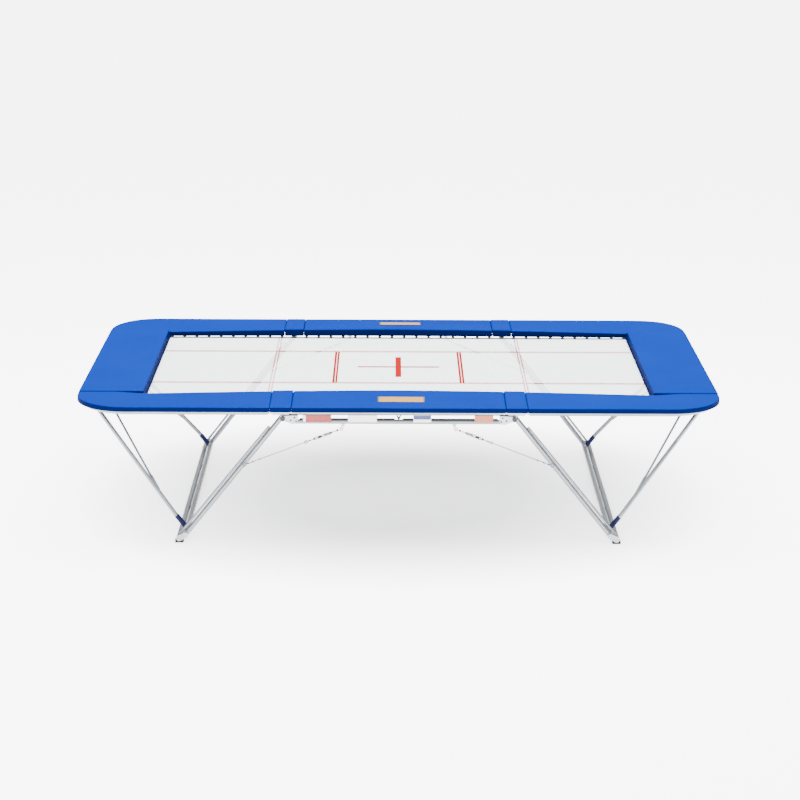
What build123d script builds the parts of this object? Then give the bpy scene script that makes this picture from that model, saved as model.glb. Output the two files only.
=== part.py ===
"""Folding competition trampoline: three-section frame, leg frames, end braces, bed, springs and pads.

Row frame: origin on the floor under the middle of the frame, +X along the length, +Y across, +Z up.
"left" is -X, "right" is +X, "near" is -Y and "far" is +Y.  All sizes are in millimetres.
"""
from math import cos, floor, hypot, radians, sin, sqrt, tan
import os

from build123d import *

# Overall frame
FRAME_LENGTH = 5200.0
FRAME_WIDTH = 3050.0
FRAME_HEIGHT = 1185.0
CORNER_RADIUS = 380.0
SPRING_GAP_END = 388.0
SPRING_GAP_SIDE = 383.0

# Rails
RAIL_WIDTH = 72.0
RAIL_DEPTH = 46.0
RAIL_WALL = 3.0
LOWER_RAIL_DIAMETER = 36.0
LOWER_RAIL_WALL = 2.5
LOWER_RAIL_GAP = 38.0
LOWER_RAIL_OUTSET = 8.0
LOWER_RAIL_HALF = 873.0

# Double-pin hinge between the centre and each end
HINGE_PIN_INNER = 880.0
HINGE_PIN_OUTER = 1026.0
HINGE_PIN_DIAMETER = 14.0
EYE_RADIUS = 13.0
EAR_THICKNESS = 16.0
EAR_SETBACK = 28.0
EAR_DROP = 20.0
END_PLATE = 6.0
LINK_CHEEK = 8.0
LINK_DROP = 24.0
LINK_POCKET_CLEAR = 3.0
PIN_HEAD = 4.0

# Bed and springs
BED_THICKNESS = 6.0
BED_BELOW_TOP = 34.0
BED_SPLIT_GAP = 3.0
SIDE_SPRING_PITCH = 112.0
END_SPRING_PITCH = 102.0
BED_EDGE_MARGIN = 50.0
SPRING_DIAMETER = 16.0
SPRING_TIP_DIAMETER = 6.0
SPRING_TAPER = 34.0

# Pads
PAD_THICKNESS = 26.0
END_PAD_EXTRA = 6.0
PAD_OVERHANG_SIDE = 20.0
PAD_OVERHANG_END = 35.0
PAD_CORNER_RADIUS = 420.0
PAD_FLAP = 16.0
PAD_FLAP_WALL = 14.0
PAD_SKIRT = 29.0
PAD_SKIRT_WALL = 10.0
PAD_SEAM = 0.6
HINGE_PAD_INNER = 865.5
HINGE_PAD_OUTER = 1040.5
END_PAD_OVERLAP = 40.0
PAD_BED_CLEAR = 1.5
BADGE_LENGTH = 385.0
BADGE_WIDTH = 140.0
BADGE_THICKNESS = 1.5
BADGE_X = 20.0
BADGE_INSET = 150.0

# Leg frames
LEG_PIVOT_X = 934.0
LEG_PIVOT_DROP = 70.0
LEG_PIVOT_INSET = 64.0
LEG_DIAMETER = 42.0
LEG_WALL = 2.5
LEG_BOSS_DIAMETER = 44.0
LEG_BOSS_LENGTH = LEG_DIAMETER + 4.0
LEG_FOOT_INSET = 154.0
STAY_DIAMETER = 20.0
STAY_WALL = 2.0
STAY_START = 150.0
STAY_FOOT_OFFSET = 16.0
FLOOR_TUBE_DIAMETER = 50.0
FLOOR_TUBE_WALL = 3.0
FLOOR_TUBE_X = 1805.0
FLOOR_TUBE_LIFT = 15.0
FLOOR_TUBE_INSET = 127.0
CROSS_TUBE_DIAMETER = 44.0
CROSS_TUBE_WALL = 3.0
CROSS_TUBE_IN = 53.0
CROSS_TUBE_UP = 28.0
WEB_LENGTH = 70.0
WEB_HEIGHT = 16.0
LEG_END_PLATE = 8.0
FOOT_LENGTH = 70.0
FOOT_WIDTH = 58.0
FOOT_HEIGHT = 22.0

# Leg pivot
PIVOT_BOLT_DIAMETER = 16.0
PIVOT_PLATE = 8.0
PIVOT_PLATE_RADIUS = 20.0
PIVOT_BLOCK_LENGTH = 60.0
BOLT_HEAD_DIAMETER = 28.0
BOLT_HEAD = 6.0
SPACER_DIAMETER = 28.0
KNOB_DIAMETER = 40.0
KNOB_LENGTH = 15.0

# End braces
BRACE_DIAMETER = 35.0
BRACE_WALL = 2.5
BRACE_PIVOT_DROP = 70.0
BRACE_MAIN_INSET = 564.0
BRACE_ROD_INSET = 1114.0
BRACE_PEG_INSET = 299.0
BRACE_BEND = (244.0, 55.0, 335.0)
BRACE_BEND_RADIUS = 60.0
BRACE_KNEE_RISE = 20.0
BRACE_ROD_DIAMETER = 20.0
BRACE_JOIN_SHARE = 0.76
BRACE_PIN_DIAMETER = 14.0
BRACE_EYE_RADIUS = 17.0
ROD_EYE_DIAMETER = 30.0
MAIN_EYE_LENGTH = BRACE_DIAMETER + 9.0
ROD_EYE_LENGTH = 54.0
BRACE_CHEEK = 7.0
ADJUSTER_DIAMETER = 30.0
ADJUSTER_LENGTH = 150.0
ADJUSTER_GAP = 60.0
SOCKET_DIAMETER = 42.0
SOCKET_BORE = 30.0
SOCKET_LENGTH = 110.0
SOCKET_GRIP = 55.0
PEG_SEAT_DIAMETER = 38.0
PEG_SEAT_RISE = 10.0
PEG_BASE_DIAMETER = 27.0
PEG_TIP_DIAMETER = 9.0
PEG_LENGTH = 26.0

# Stay cables
CABLE_DIAMETER = 6.0
CABLE_ANCHOR_X = 450.0
CABLE_LUG_DISTANCE = 530.0
CABLE_FITTING_DIAMETER = 14.0
CABLE_FITTING_LENGTH = 90.0
LUG_THICKNESS = 8.0
LUG_WIDTH = 30.0
LUG_REACH = 34.0
ANCHOR_DROP = 24.0

# Label plates on the near side: (left edge, right edge) along X
LABEL_SPANS = ((-772.0, -544.0), (-408.0, -176.0), (118.0, 262.0), (612.0, 762.0))
LABEL_THICKNESS = 3.0
LABEL_HEIGHT = 60.0
LABEL_RAIL_CLEAR = 0.5
CLIP_WIDTH = 40.0
CLIP_THICKNESS = 12.0

# Clearances
SEAT = 0.3
RUNNING = 0.05
COPE = 0.2
CHEEK_GAP = 0.5

# Worked out from the sizes above
RAIL_Z = FRAME_HEIGHT - RAIL_DEPTH / 2
RAIL_BOTTOM = FRAME_HEIGHT - RAIL_DEPTH
RAIL_Y = (FRAME_WIDTH - RAIL_WIDTH) / 2
END_X = (FRAME_LENGTH - RAIL_WIDTH) / 2
INNER_Y = RAIL_Y - RAIL_WIDTH / 2
INNER_X = END_X - RAIL_WIDTH / 2
CORNER_START_X = END_X - CORNER_RADIUS
CORNER_START_Y = RAIL_Y - CORNER_RADIUS
LOWER_RAIL_Y = RAIL_Y + LOWER_RAIL_OUTSET
LOWER_RAIL_Z = RAIL_BOTTOM - LOWER_RAIL_GAP - LOWER_RAIL_DIAMETER / 2
BED_X = INNER_X - SPRING_GAP_END
BED_Y = INNER_Y - SPRING_GAP_SIDE
BED_Z = FRAME_HEIGHT - BED_BELOW_TOP
HINGE_MIDDLE = (HINGE_PIN_INNER + HINGE_PIN_OUTER) / 2
PAD_BOTTOM = FRAME_HEIGHT + SEAT
PAD_TOP = PAD_BOTTOM + PAD_THICKNESS
PAD_Y = RAIL_Y + RAIL_WIDTH / 2 + PAD_OVERHANG_SIDE
PAD_X = END_X + RAIL_WIDTH / 2 + PAD_OVERHANG_END
END_PAD_INNER = BED_X - END_PAD_OVERLAP
LEG_PIVOT_Y = RAIL_Y - LEG_PIVOT_INSET
LEG_PIVOT_Z = FRAME_HEIGHT - LEG_PIVOT_DROP
FLOOR_TUBE_Z = FLOOR_TUBE_LIFT + FLOOR_TUBE_DIAMETER / 2
FLOOR_TUBE_HALF = RAIL_Y - FLOOR_TUBE_INSET
CROSS_TUBE_X = FLOOR_TUBE_X - CROSS_TUBE_IN
CROSS_TUBE_Z = FLOOR_TUBE_Z + CROSS_TUBE_UP
LEG_FOOT_Y = RAIL_Y - LEG_FOOT_INSET
PEG_Y = RAIL_Y - BRACE_PEG_INSET
BRACE_PIVOT_Z = FRAME_HEIGHT - BRACE_PIVOT_DROP

SIDES = (("left", -1), ("right", 1))
ROWS = (("near", -1), ("far", 1))
FROM_BASE = (Align.CENTER, Align.CENTER, Align.MIN)


def block(x_span, y_span, z_span):
    """A box between two values on each axis, given in either order."""
    spans = [sorted(span) for span in (x_span, y_span, z_span)]
    size = [high - low for low, high in spans]
    middle = [(low + high) / 2 for low, high in spans]
    return Pos(*middle) * Box(*size)


def rod(start, end, diameter):
    """A solid round bar from one point to another."""
    start, end = Vector(*start), Vector(*end)
    plane = Plane(origin=start, z_dir=end - start)
    return plane * Cylinder(diameter / 2, (end - start).length, align=FROM_BASE)


def cone(start, end, diameter, end_diameter):
    """A solid cone between two points."""
    start, end = Vector(*start), Vector(*end)
    plane = Plane(origin=start, z_dir=end - start)
    length = (end - start).length
    return plane * Cone(diameter / 2, end_diameter / 2, length, align=FROM_BASE)


def tube(start, end, diameter, wall):
    """An open round tube from one point to another."""
    return rod(start, end, diameter) - rod(start, end, diameter - 2 * wall)


def across(x, y_span, z, diameter):
    """A round bar along Y."""
    low, high = sorted(y_span)
    return rod((x, low, z), (x, high, z), diameter)


def upright_plate(points, discs, y_span):
    """A plate in the XZ plane: a polygon joined with round ends, each disc being (x, z, radius)."""
    low, high = sorted(y_span)
    outline = make_face(Polyline(*points, close=True))
    for x, z, radius in discs:
        outline += Pos(x, z) * Circle(radius)
    return Plane(origin=(0, high, 0), x_dir=(1, 0, 0), z_dir=(0, -1, 0)) * extrude(outline, high - low)


def stadium(width, depth):
    """The rail's flattened round section."""
    return SlotOverall(width, depth)


def rail_section():
    """The rail's hollow section, width along the local X axis."""
    return stadium(RAIL_WIDTH, RAIL_DEPTH) - stadium(RAIL_WIDTH - 2 * RAIL_WALL, RAIL_DEPTH - 2 * RAIL_WALL)


def rail_along_x(x_span, y):
    """A straight rail along X."""
    low, high = sorted(x_span)
    plane = Plane(origin=(low, y, RAIL_Z), x_dir=(0, 1, 0), z_dir=(1, 0, 0))
    return plane * extrude(rail_section(), high - low)


def rail_along_y(x, y_span):
    """A straight rail along Y."""
    low, high = sorted(y_span)
    plane = Plane(origin=(x, low, RAIL_Z), x_dir=(1, 0, 0), z_dir=(0, 1, 0))
    return plane * extrude(rail_section(), high - low)


def rail_corner(side, row):
    """A quarter bend that joins a side rail to an end tube."""
    plane = Plane(origin=(CORNER_RADIUS, 0, 0), x_dir=(1, 0, 0), z_dir=(0, -1, 0))
    quarter = revolve(plane * rail_section(), Axis.Z, 90)
    turn = {(1, 1): 0, (-1, 1): 90, (-1, -1): 180, (1, -1): 270}[(side, row)]
    return Pos(side * CORNER_START_X, row * CORNER_START_Y, RAIL_Z) * Rot(0, 0, turn) * quarter


def rail_face_inset(z):
    """How far the rail's rounded side lies behind its widest line at a height."""
    radius = RAIL_DEPTH / 2
    return radius - sqrt(max(radius ** 2 - (RAIL_Z - z) ** 2, 0))


def spring(length):
    """A spring's envelope along +Z: a barrel whose ends taper to the hooks."""
    tip, body = SPRING_TIP_DIAMETER / 2, SPRING_DIAMETER / 2
    taper = min(SPRING_TAPER, length / 3)
    outline = Polyline((0, 0), (tip, 0), (body, taper), (body, length - taper), (tip, length), (0, length),
                       close=True)
    return revolve(Plane.XZ * make_face(outline), Axis.Z, 360)


def spring_row(places, direction, start, end):
    """Equal springs from the bed's edge outwards, one at each place."""
    body = spring(end - start)
    return [Plane(origin=(x, y, BED_Z), z_dir=direction) * body for x, y in places]


def group(solids):
    """Separate solids in one node."""
    return Compound(children=[solid for item in solids for solid in item.solids()])


def save(name, shape):
    """Write one node."""
    export_step(shape, f"parts/{name}.step")


# Where the springs reach
SPRING_TOP = BED_Z + SPRING_TIP_DIAMETER / 2
RAIL_REACH = rail_face_inset(SPRING_TOP) - SEAT


def centre_spring_places():
    """X positions of the centre section's side springs, evenly spaced between the hinges."""
    count = round(2 * HINGE_MIDDLE / SIDE_SPRING_PITCH)
    step = 2 * HINGE_MIDDLE / count
    return [-HINGE_MIDDLE + step * i for i in range(1, count)]


def end_spring_places():
    """Distances from the middle of the end section's side springs."""
    limit = min(BED_X - BED_EDGE_MARGIN, CORNER_START_X)
    count = floor((limit - HINGE_MIDDLE) / SIDE_SPRING_PITCH)
    return [HINGE_MIDDLE + SIDE_SPRING_PITCH * (i + 1) for i in range(count)]


def end_row_places():
    """Y positions of the springs along the end tube."""
    limit = min(BED_Y - BED_EDGE_MARGIN, CORNER_START_Y)
    count = floor(limit / END_SPRING_PITCH)
    return [END_SPRING_PITCH * i for i in range(-count, count + 1)]


def side_springs(places, row, outer):
    """Springs along one long side, from the bed to a face at the given distance."""
    start = BED_Y + SEAT
    spots = [(x, row * start) for x in places]
    return spring_row(spots, (0, row, 0), start, outer)


def make_centre_frame():
    """The rails, clips, label plates and ears of the centre section."""
    rail_half = HINGE_PIN_INNER - EAR_SETBACK - END_PLATE
    ears, clips, anchors = [], [], []
    for row_name, row in ROWS:
        save(f"centre_{row_name}_rail", rail_along_x((-rail_half, rail_half), row * RAIL_Y))
        ends = [(x, row * LOWER_RAIL_Y, LOWER_RAIL_Z) for x in (-LOWER_RAIL_HALF, LOWER_RAIL_HALF)]
        lower = tube(*ends, LOWER_RAIL_DIAMETER, LOWER_RAIL_WALL)
        save(f"{row_name}_lower_rail", lower)
        for _, side in SIDES:
            ears.append(hinge_ear(side, row, HINGE_PIN_INNER, -1))
            anchors.append(cable_anchor(side, row))
        clips.append(rail_clip(row))
    save("centre_hinge_ears", group(ears))
    save("rail_clips", group(clips))
    save("cable_anchors", group(anchors))


def hinge_ear(side, row, pin_x, away):
    """The tongue on a rail's end that a hinge pin runs through; away is -1 towards the middle, 1 outwards."""
    root = pin_x + away * EAR_SETBACK
    plate_end = root + away * END_PLATE
    low = RAIL_Z - EAR_DROP
    points = ((side * root, RAIL_Z + EYE_RADIUS), (side * pin_x, RAIL_Z + EYE_RADIUS),
              (side * pin_x, RAIL_Z - EYE_RADIUS), (side * root, low))
    half = EAR_THICKNESS / 2
    y_span = (row * (RAIL_Y - half), row * (RAIL_Y + half))
    tongue = upright_plate(points, ((side * pin_x, RAIL_Z, EYE_RADIUS),), y_span)
    start = min(side * root, side * plate_end)
    plane = Plane(origin=(start, row * RAIL_Y, RAIL_Z), x_dir=(0, 1, 0), z_dir=(1, 0, 0))
    end_plate = plane * extrude(stadium(RAIL_WIDTH, RAIL_DEPTH), END_PLATE)
    bore = across(side * pin_x, y_span, RAIL_Z, HINGE_PIN_DIAMETER + 2 * RUNNING)
    return tongue + end_plate - bore


def hinge_link(side, row):
    """The link between the two hinge pins, with its pins: two cheeks and a web between the ears."""
    inner, outer = side * HINGE_PIN_INNER, side * HINGE_PIN_OUTER
    slant = LINK_DROP - EYE_RADIUS
    top, foot = RAIL_Z + EYE_RADIUS, RAIL_Z - LINK_DROP
    points = ((inner, top), (outer, top), (outer, RAIL_Z - EYE_RADIUS), (outer - side * slant, foot),
              (inner + side * slant, foot), (inner, RAIL_Z - EYE_RADIUS))
    discs = ((inner, RAIL_Z, EYE_RADIUS), (outer, RAIL_Z, EYE_RADIUS))
    ear = EAR_THICKNESS / 2 + CHEEK_GAP
    outside = ear + LINK_CHEEK
    link = upright_plate(points, discs, (row * RAIL_Y - outside, row * RAIL_Y + outside))
    clear = EYE_RADIUS + LINK_POCKET_CLEAR
    pocket = 2 * EYE_RADIUS + EAR_SETBACK
    for pin, away in ((inner, -side), (outer, side)):
        start = pin - away * clear
        link -= block((start, start + away * pocket), (row * RAIL_Y - ear, row * RAIL_Y + ear),
                      (RAIL_Z - 2 * LINK_DROP, RAIL_Z + 2 * LINK_DROP))
        link -= across(pin, (row * RAIL_Y - outside, row * RAIL_Y + outside), RAIL_Z,
                       HINGE_PIN_DIAMETER + RUNNING)
    pins = [hinge_pin(pin, row * RAIL_Y, RAIL_Z, outside, HINGE_PIN_DIAMETER) for pin in (inner, outer)]
    return [link] + pins


def hinge_pin(x, y, z, reach, diameter):
    """A pin along Y with a head at each end."""
    pin = across(x, (y - reach - PIN_HEAD, y + reach + PIN_HEAD), z, diameter)
    for way in (-1, 1):
        start = y + way * (reach + RUNNING)
        pin += across(x, (start, start + way * PIN_HEAD), z, diameter + 2 * PIN_HEAD)
    return pin


def rail_clip(row):
    """The V-shaped clip between the upper and lower rails at the middle of a long side."""
    foot_z = LOWER_RAIL_Z + LOWER_RAIL_DIAMETER / 2
    arm = CLIP_WIDTH / 4
    points = ((-CLIP_WIDTH / 2, RAIL_BOTTOM), (-CLIP_WIDTH / 2 + arm, RAIL_BOTTOM), (0, foot_z + 2 * arm),
              (CLIP_WIDTH / 2 - arm, RAIL_BOTTOM), (CLIP_WIDTH / 2, RAIL_BOTTOM), (arm / 2, foot_z),
              (-arm / 2, foot_z))
    middle = row * LOWER_RAIL_Y
    return upright_plate(points, (), (middle - CLIP_THICKNESS / 2, middle + CLIP_THICKNESS / 2)) - rod(
        (-CLIP_WIDTH, middle, LOWER_RAIL_Z), (CLIP_WIDTH, middle, LOWER_RAIL_Z), LOWER_RAIL_DIAMETER)


def cable_anchor(side, row):
    """The eye plate under a lower rail that a stay cable hooks to."""
    middle = side * CABLE_ANCHOR_X
    low = LOWER_RAIL_Z - LOWER_RAIL_DIAMETER / 2 - ANCHOR_DROP
    y_span = (row * LOWER_RAIL_Y - LUG_THICKNESS / 2, row * LOWER_RAIL_Y + LUG_THICKNESS / 2)
    plate = block((middle - LUG_WIDTH / 2, middle + LUG_WIDTH / 2), y_span, (low, LOWER_RAIL_Z))
    rail = rod((middle - LUG_WIDTH, row * LOWER_RAIL_Y, LOWER_RAIL_Z),
               (middle + LUG_WIDTH, row * LOWER_RAIL_Y, LOWER_RAIL_Z), LOWER_RAIL_DIAMETER + COPE)
    return plate - rail


def rail_rise(y):
    """How far a rail's rounded underside stands above its lowest point, at a distance from the middle."""
    radius = RAIL_DEPTH / 2
    beyond = y - (RAIL_Y + RAIL_WIDTH / 2 - radius)
    return radius - sqrt(radius**2 - max(beyond, 0) ** 2)


def make_labels():
    """Blank label plates on the near side and blank badges on the centre pads."""
    outer = LOWER_RAIL_Y + LOWER_RAIL_DIAMETER / 2 + SEAT
    y_span = (-outer, -outer - LABEL_THICKNESS)
    high = RAIL_BOTTOM + rail_rise(outer) - LABEL_RAIL_CLEAR
    plates = [block(span, y_span, (high - LABEL_HEIGHT, high)) for span in LABEL_SPANS]
    middle = PAD_Y - BADGE_INSET - BADGE_WIDTH / 2
    badges = [block((BADGE_X - BADGE_LENGTH / 2, BADGE_X + BADGE_LENGTH / 2),
                    (row * (middle - BADGE_WIDTH / 2), row * (middle + BADGE_WIDTH / 2)),
                    (PAD_TOP, PAD_TOP + BADGE_THICKNESS)) for _, row in ROWS]
    save("label_plates", group(plates + badges))


def make_leg_pivots():
    """The plates that carry the leg pivots, and the bolts with their spacers and knobs."""
    plates, bolts = [], []
    half = LOWER_RAIL_DIAMETER / 2
    inner_face = LOWER_RAIL_Y - half - 1.5 * PIVOT_PLATE
    outer_face = LOWER_RAIL_Y + half + PIVOT_PLATE / 2
    for _, side in SIDES:
        for _, row in ROWS:
            root = side * (LOWER_RAIL_HALF - PIVOT_BLOCK_LENGTH)
            shoulder = side * (HINGE_PIN_INNER - EAR_SETBACK - END_PLATE)
            pivot = side * LEG_PIVOT_X
            points = ((root, RAIL_BOTTOM), (shoulder, RAIL_BOTTOM), (pivot, LEG_PIVOT_Z + PIVOT_PLATE_RADIUS),
                      (pivot, LEG_PIVOT_Z - PIVOT_PLATE_RADIUS), (shoulder, LOWER_RAIL_Z - half),
                      (root, LOWER_RAIL_Z))
            discs = ((pivot, LEG_PIVOT_Z, PIVOT_PLATE_RADIUS),)
            between = (row * inner_face, row * outer_face)
            plate = block((root, side * LOWER_RAIL_HALF), between, (LOWER_RAIL_Z, RAIL_BOTTOM))
            plate -= block((shoulder, side * (LOWER_RAIL_HALF + PIVOT_PLATE)), between,
                           (LEG_PIVOT_Z + PIVOT_PLATE_RADIUS / 2, RAIL_BOTTOM + PIVOT_PLATE))
            for face, way in ((inner_face, -1), (outer_face, 1)):
                plate += upright_plate(points, discs, (row * face, row * (face + way * PIVOT_PLATE)))
            plate -= rod((root - side * PIVOT_PLATE, row * LOWER_RAIL_Y, LOWER_RAIL_Z),
                         (side * LOWER_RAIL_HALF * 2, row * LOWER_RAIL_Y, LOWER_RAIL_Z),
                         LOWER_RAIL_DIAMETER + COPE)
            beyond = (row * (inner_face - 2 * PIVOT_PLATE), row * (outer_face + 2 * PIVOT_PLATE))
            plate -= across(pivot, beyond, LEG_PIVOT_Z, PIVOT_BOLT_DIAMETER + RUNNING)
            plates.append(plate)
            bolts += pivot_bolt(pivot, row, inner_face - PIVOT_PLATE, outer_face + PIVOT_PLATE)
    save("leg_pivot_plates", group(plates))
    save("leg_pivot_bolts", group(bolts))


def pivot_bolt(x, row, plate_inner, plate_outer):
    """A leg's pivot bolt with its head inside the boss, its spacer ring and its outer knob."""
    boss_inner = LEG_PIVOT_Y - LEG_BOSS_LENGTH / 2 - SEAT
    boss_outer = LEG_PIVOT_Y + LEG_BOSS_LENGTH / 2 + SEAT
    knob_start = plate_outer + SEAT
    bolt = across(x, (row * (boss_inner - BOLT_HEAD), row * (knob_start + KNOB_LENGTH)), LEG_PIVOT_Z,
                  PIVOT_BOLT_DIAMETER)
    bolt += across(x, (row * (boss_inner - BOLT_HEAD), row * boss_inner), LEG_PIVOT_Z, BOLT_HEAD_DIAMETER)
    bolt += across(x, (row * knob_start, row * (knob_start + KNOB_LENGTH)), LEG_PIVOT_Z, KNOB_DIAMETER)
    span = (row * boss_outer, row * (plate_inner - SEAT))
    spacer = across(x, span, LEG_PIVOT_Z, SPACER_DIAMETER) - across(x, span, LEG_PIVOT_Z,
                                                                    PIVOT_BOLT_DIAMETER + RUNNING)
    return [bolt, spacer]


def pad_strip(x_span, row):
    """A straight pad along a long side, with a flap outside the rail and a skirt beside the bed."""
    outer, inner = row * PAD_Y, row * (BED_Y + PAD_SEAM)
    pad = block(x_span, (inner, outer), (PAD_BOTTOM, PAD_TOP))
    pad += block(x_span, (outer, outer - row * PAD_FLAP_WALL), (PAD_BOTTOM - PAD_FLAP, PAD_TOP))
    return pad + block(x_span, (inner, inner + row * PAD_SKIRT_WALL), (PAD_BOTTOM - PAD_SKIRT, PAD_TOP))


def corner_outline(side, row, inset):
    """Plan of a corner pad, drawn inwards by an inset from its two outer edges."""
    radius = min(PAD_CORNER_RADIUS, PAD_Y - BED_Y - PAD_SEAM) - inset
    inner_x, inner_y = side * (HINGE_PAD_OUTER + PAD_SEAM), row * (BED_Y + PAD_SEAM)
    outer_x, outer_y = side * (PAD_X - inset), row * (PAD_Y - inset)
    bow = radius * sin(radians(45))
    middle = (outer_x - side * (radius - bow), outer_y - row * (radius - bow))
    inside, end_inside, side_inside = (inner_x, inner_y), (outer_x, inner_y), (inner_x, outer_y)
    bend_start, bend_end = (outer_x, outer_y - row * radius), (outer_x - side * radius, outer_y)
    edges = [Line(inside, end_inside), Line(end_inside, bend_start),
             ThreePointArc(bend_start, middle, bend_end),
             Line(bend_end, side_inside), Line(side_inside, inside)]
    return make_face(Wire(edges))


def corner_pad(side, row):
    """A side pad of an end section, rounded at the frame's corner."""
    low = PAD_BOTTOM - PAD_FLAP
    pad = Pos(0, 0, low) * extrude(corner_outline(side, row, 0), PAD_TOP - low)
    pad -= Pos(0, 0, low) * extrude(corner_outline(side, row, PAD_FLAP_WALL), PAD_FLAP)
    pad -= block((side * (END_X - RAIL_WIDTH), side * (PAD_X - PAD_FLAP_WALL)),
                 (0, row * (BED_Y + PAD_FLAP_WALL)), (low, PAD_BOTTOM))
    inner = row * (BED_Y + PAD_SEAM)
    skirt = block((side * (HINGE_PAD_OUTER + PAD_SEAM), side * END_PAD_INNER),
                  (inner, inner + row * PAD_SKIRT_WALL), (PAD_BOTTOM - PAD_SKIRT, PAD_TOP))
    return pad + skirt


def end_pad(side):
    """The pad across an end of the frame, from over the bed's edge to outside the end tube."""
    top = PAD_TOP + END_PAD_EXTRA
    span = (-(BED_Y - PAD_SEAM), BED_Y - PAD_SEAM)
    pad = block((side * END_PAD_INNER, side * PAD_X), span, (PAD_BOTTOM, top))
    pad += block((side * (PAD_X - PAD_FLAP_WALL), side * PAD_X), span, (PAD_BOTTOM - PAD_FLAP, top))
    skirt_low = BED_Z + BED_THICKNESS / 2 + PAD_BED_CLEAR
    skirt_span = (side * END_PAD_INNER, side * (END_PAD_INNER + PAD_SKIRT_WALL))
    return pad + block(skirt_span, span, (skirt_low, top))


def make_pads():
    """All the pads."""
    edge = HINGE_PAD_INNER - PAD_SEAM
    for row_name, row in ROWS:
        save(f"{row_name}_centre_pad", pad_strip((-edge, edge), row))
    for side_name, side in SIDES:
        hinge_span = (side * HINGE_PAD_INNER, side * HINGE_PAD_OUTER)
        save(f"{side_name}_hinge_pads", group(pad_strip(hinge_span, row) for _, row in ROWS))
        save(f"{side_name}_corner_pads", group(corner_pad(side, row) for _, row in ROWS))
        save(f"{side_name}_end_pad", end_pad(side))


def make_bed_and_springs():
    """The bed in three panels that meet over the hinges' middles, and its springs."""
    z_span = (BED_Z - BED_THICKNESS / 2, BED_Z + BED_THICKNESS / 2)
    split = HINGE_MIDDLE - BED_SPLIT_GAP / 2
    save("centre_bed", block((-split, split), (-BED_Y, BED_Y), z_span))
    rail_face = INNER_Y + RAIL_REACH
    link_face = RAIL_Y - EAR_THICKNESS / 2 - CHEEK_GAP - LINK_CHEEK - PIN_HEAD
    middle_springs = []
    for _, row in ROWS:
        middle_springs += side_springs(centre_spring_places(), row, rail_face)
    save("centre_springs", group(middle_springs))
    for side_name, side in SIDES:
        save(f"{side_name}_bed", block((side * (HINGE_MIDDLE + BED_SPLIT_GAP / 2), side * BED_X),
                                       (-BED_Y, BED_Y), z_span))
        springs, link_springs = [], []
        for _, row in ROWS:
            springs += side_springs([side * x for x in end_spring_places()], row, rail_face)
            link_springs += side_springs([side * HINGE_MIDDLE], row, link_face + PIN_HEAD - SEAT)
        start = BED_X + SEAT
        ends = [(side * start, y) for y in end_row_places()]
        springs += spring_row(ends, (side, 0, 0), start, INNER_X + RAIL_REACH)
        save(f"{side_name}_springs", group(springs))
        save(f"{side_name}_link_springs", group(link_springs))


def make_end_frame(side_name, side):
    """One end section's rails, hinge ears, links and brace ears."""
    rail_start = HINGE_PIN_OUTER + EAR_SETBACK + END_PLATE
    rails = [rail_along_x((side * rail_start, side * CORNER_START_X), row * RAIL_Y) for _, row in ROWS]
    save(f"{side_name}_side_rails", group(rails))
    save(f"{side_name}_corner_bends", group(rail_corner(side, row) for _, row in ROWS))
    save(f"{side_name}_end_tube", rail_along_y(side * END_X, (-CORNER_START_Y, CORNER_START_Y)))
    save(f"{side_name}_hinge_ears", group(hinge_ear(side, row, HINGE_PIN_OUTER, 1) for _, row in ROWS))
    links = []
    for _, row in ROWS:
        links += hinge_link(side, row)
    save(f"{side_name}_hinge_links", group(links))
    ears = []
    for _, row in ROWS:
        ears += brace_ear(side, row * (RAIL_Y - BRACE_MAIN_INSET), MAIN_EYE_LENGTH)
        ears += brace_ear(side, row * (RAIL_Y - BRACE_ROD_INSET), ROD_EYE_LENGTH)
    save(f"{side_name}_brace_ears", group(ears))


def brace_ear(side, y, eye_length):
    """A U-shaped ear under the end tube with the pin that a brace's eye turns on."""
    inside = eye_length / 2 + SEAT
    outside = inside + BRACE_CHEEK
    x = side * END_X
    web_low = BRACE_PIVOT_Z + BRACE_EYE_RADIUS + 2 * CHEEK_GAP
    half_web = (RAIL_WIDTH - RAIL_DEPTH) / 2
    ear = block((x - half_web, x + half_web), (y - outside, y + outside), (web_low, RAIL_BOTTOM))
    points = ((x - half_web, RAIL_BOTTOM), (x + half_web, RAIL_BOTTOM), (x + half_web, BRACE_PIVOT_Z),
              (x - half_web, BRACE_PIVOT_Z))
    for way in (-1, 1):
        ear += upright_plate(points, ((x, BRACE_PIVOT_Z, half_web),), (y + way * inside, y + way * outside))
    ear -= across(x, (y - outside, y + outside), BRACE_PIVOT_Z, BRACE_PIN_DIAMETER + RUNNING)
    return [ear, hinge_pin(x, y, BRACE_PIVOT_Z, outside, BRACE_PIN_DIAMETER)]


def leg_line(side, row):
    """A leg tube's two ends: its pivot and its foot on the cross tube's axis."""
    top = Vector(side * LEG_PIVOT_X, row * LEG_PIVOT_Y, LEG_PIVOT_Z)
    foot = Vector(side * CROSS_TUBE_X, row * LEG_FOOT_Y, CROSS_TUBE_Z)
    return top, foot


def leg_outward(side):
    """Unit vector square to the legs in the XZ plane, pointing up and away from the middle."""
    run, rise = CROSS_TUBE_X - LEG_PIVOT_X, LEG_PIVOT_Z - CROSS_TUBE_Z
    length = hypot(run, rise)
    return Vector(side * rise / length, 0, run / length)


def cross_bar(side, extra=0.0):
    """The cross tube's outside, over the whole width, for coping what meets it."""
    return across(side * CROSS_TUBE_X, (-RAIL_Y, RAIL_Y), CROSS_TUBE_Z, CROSS_TUBE_DIAMETER + extra)


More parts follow.
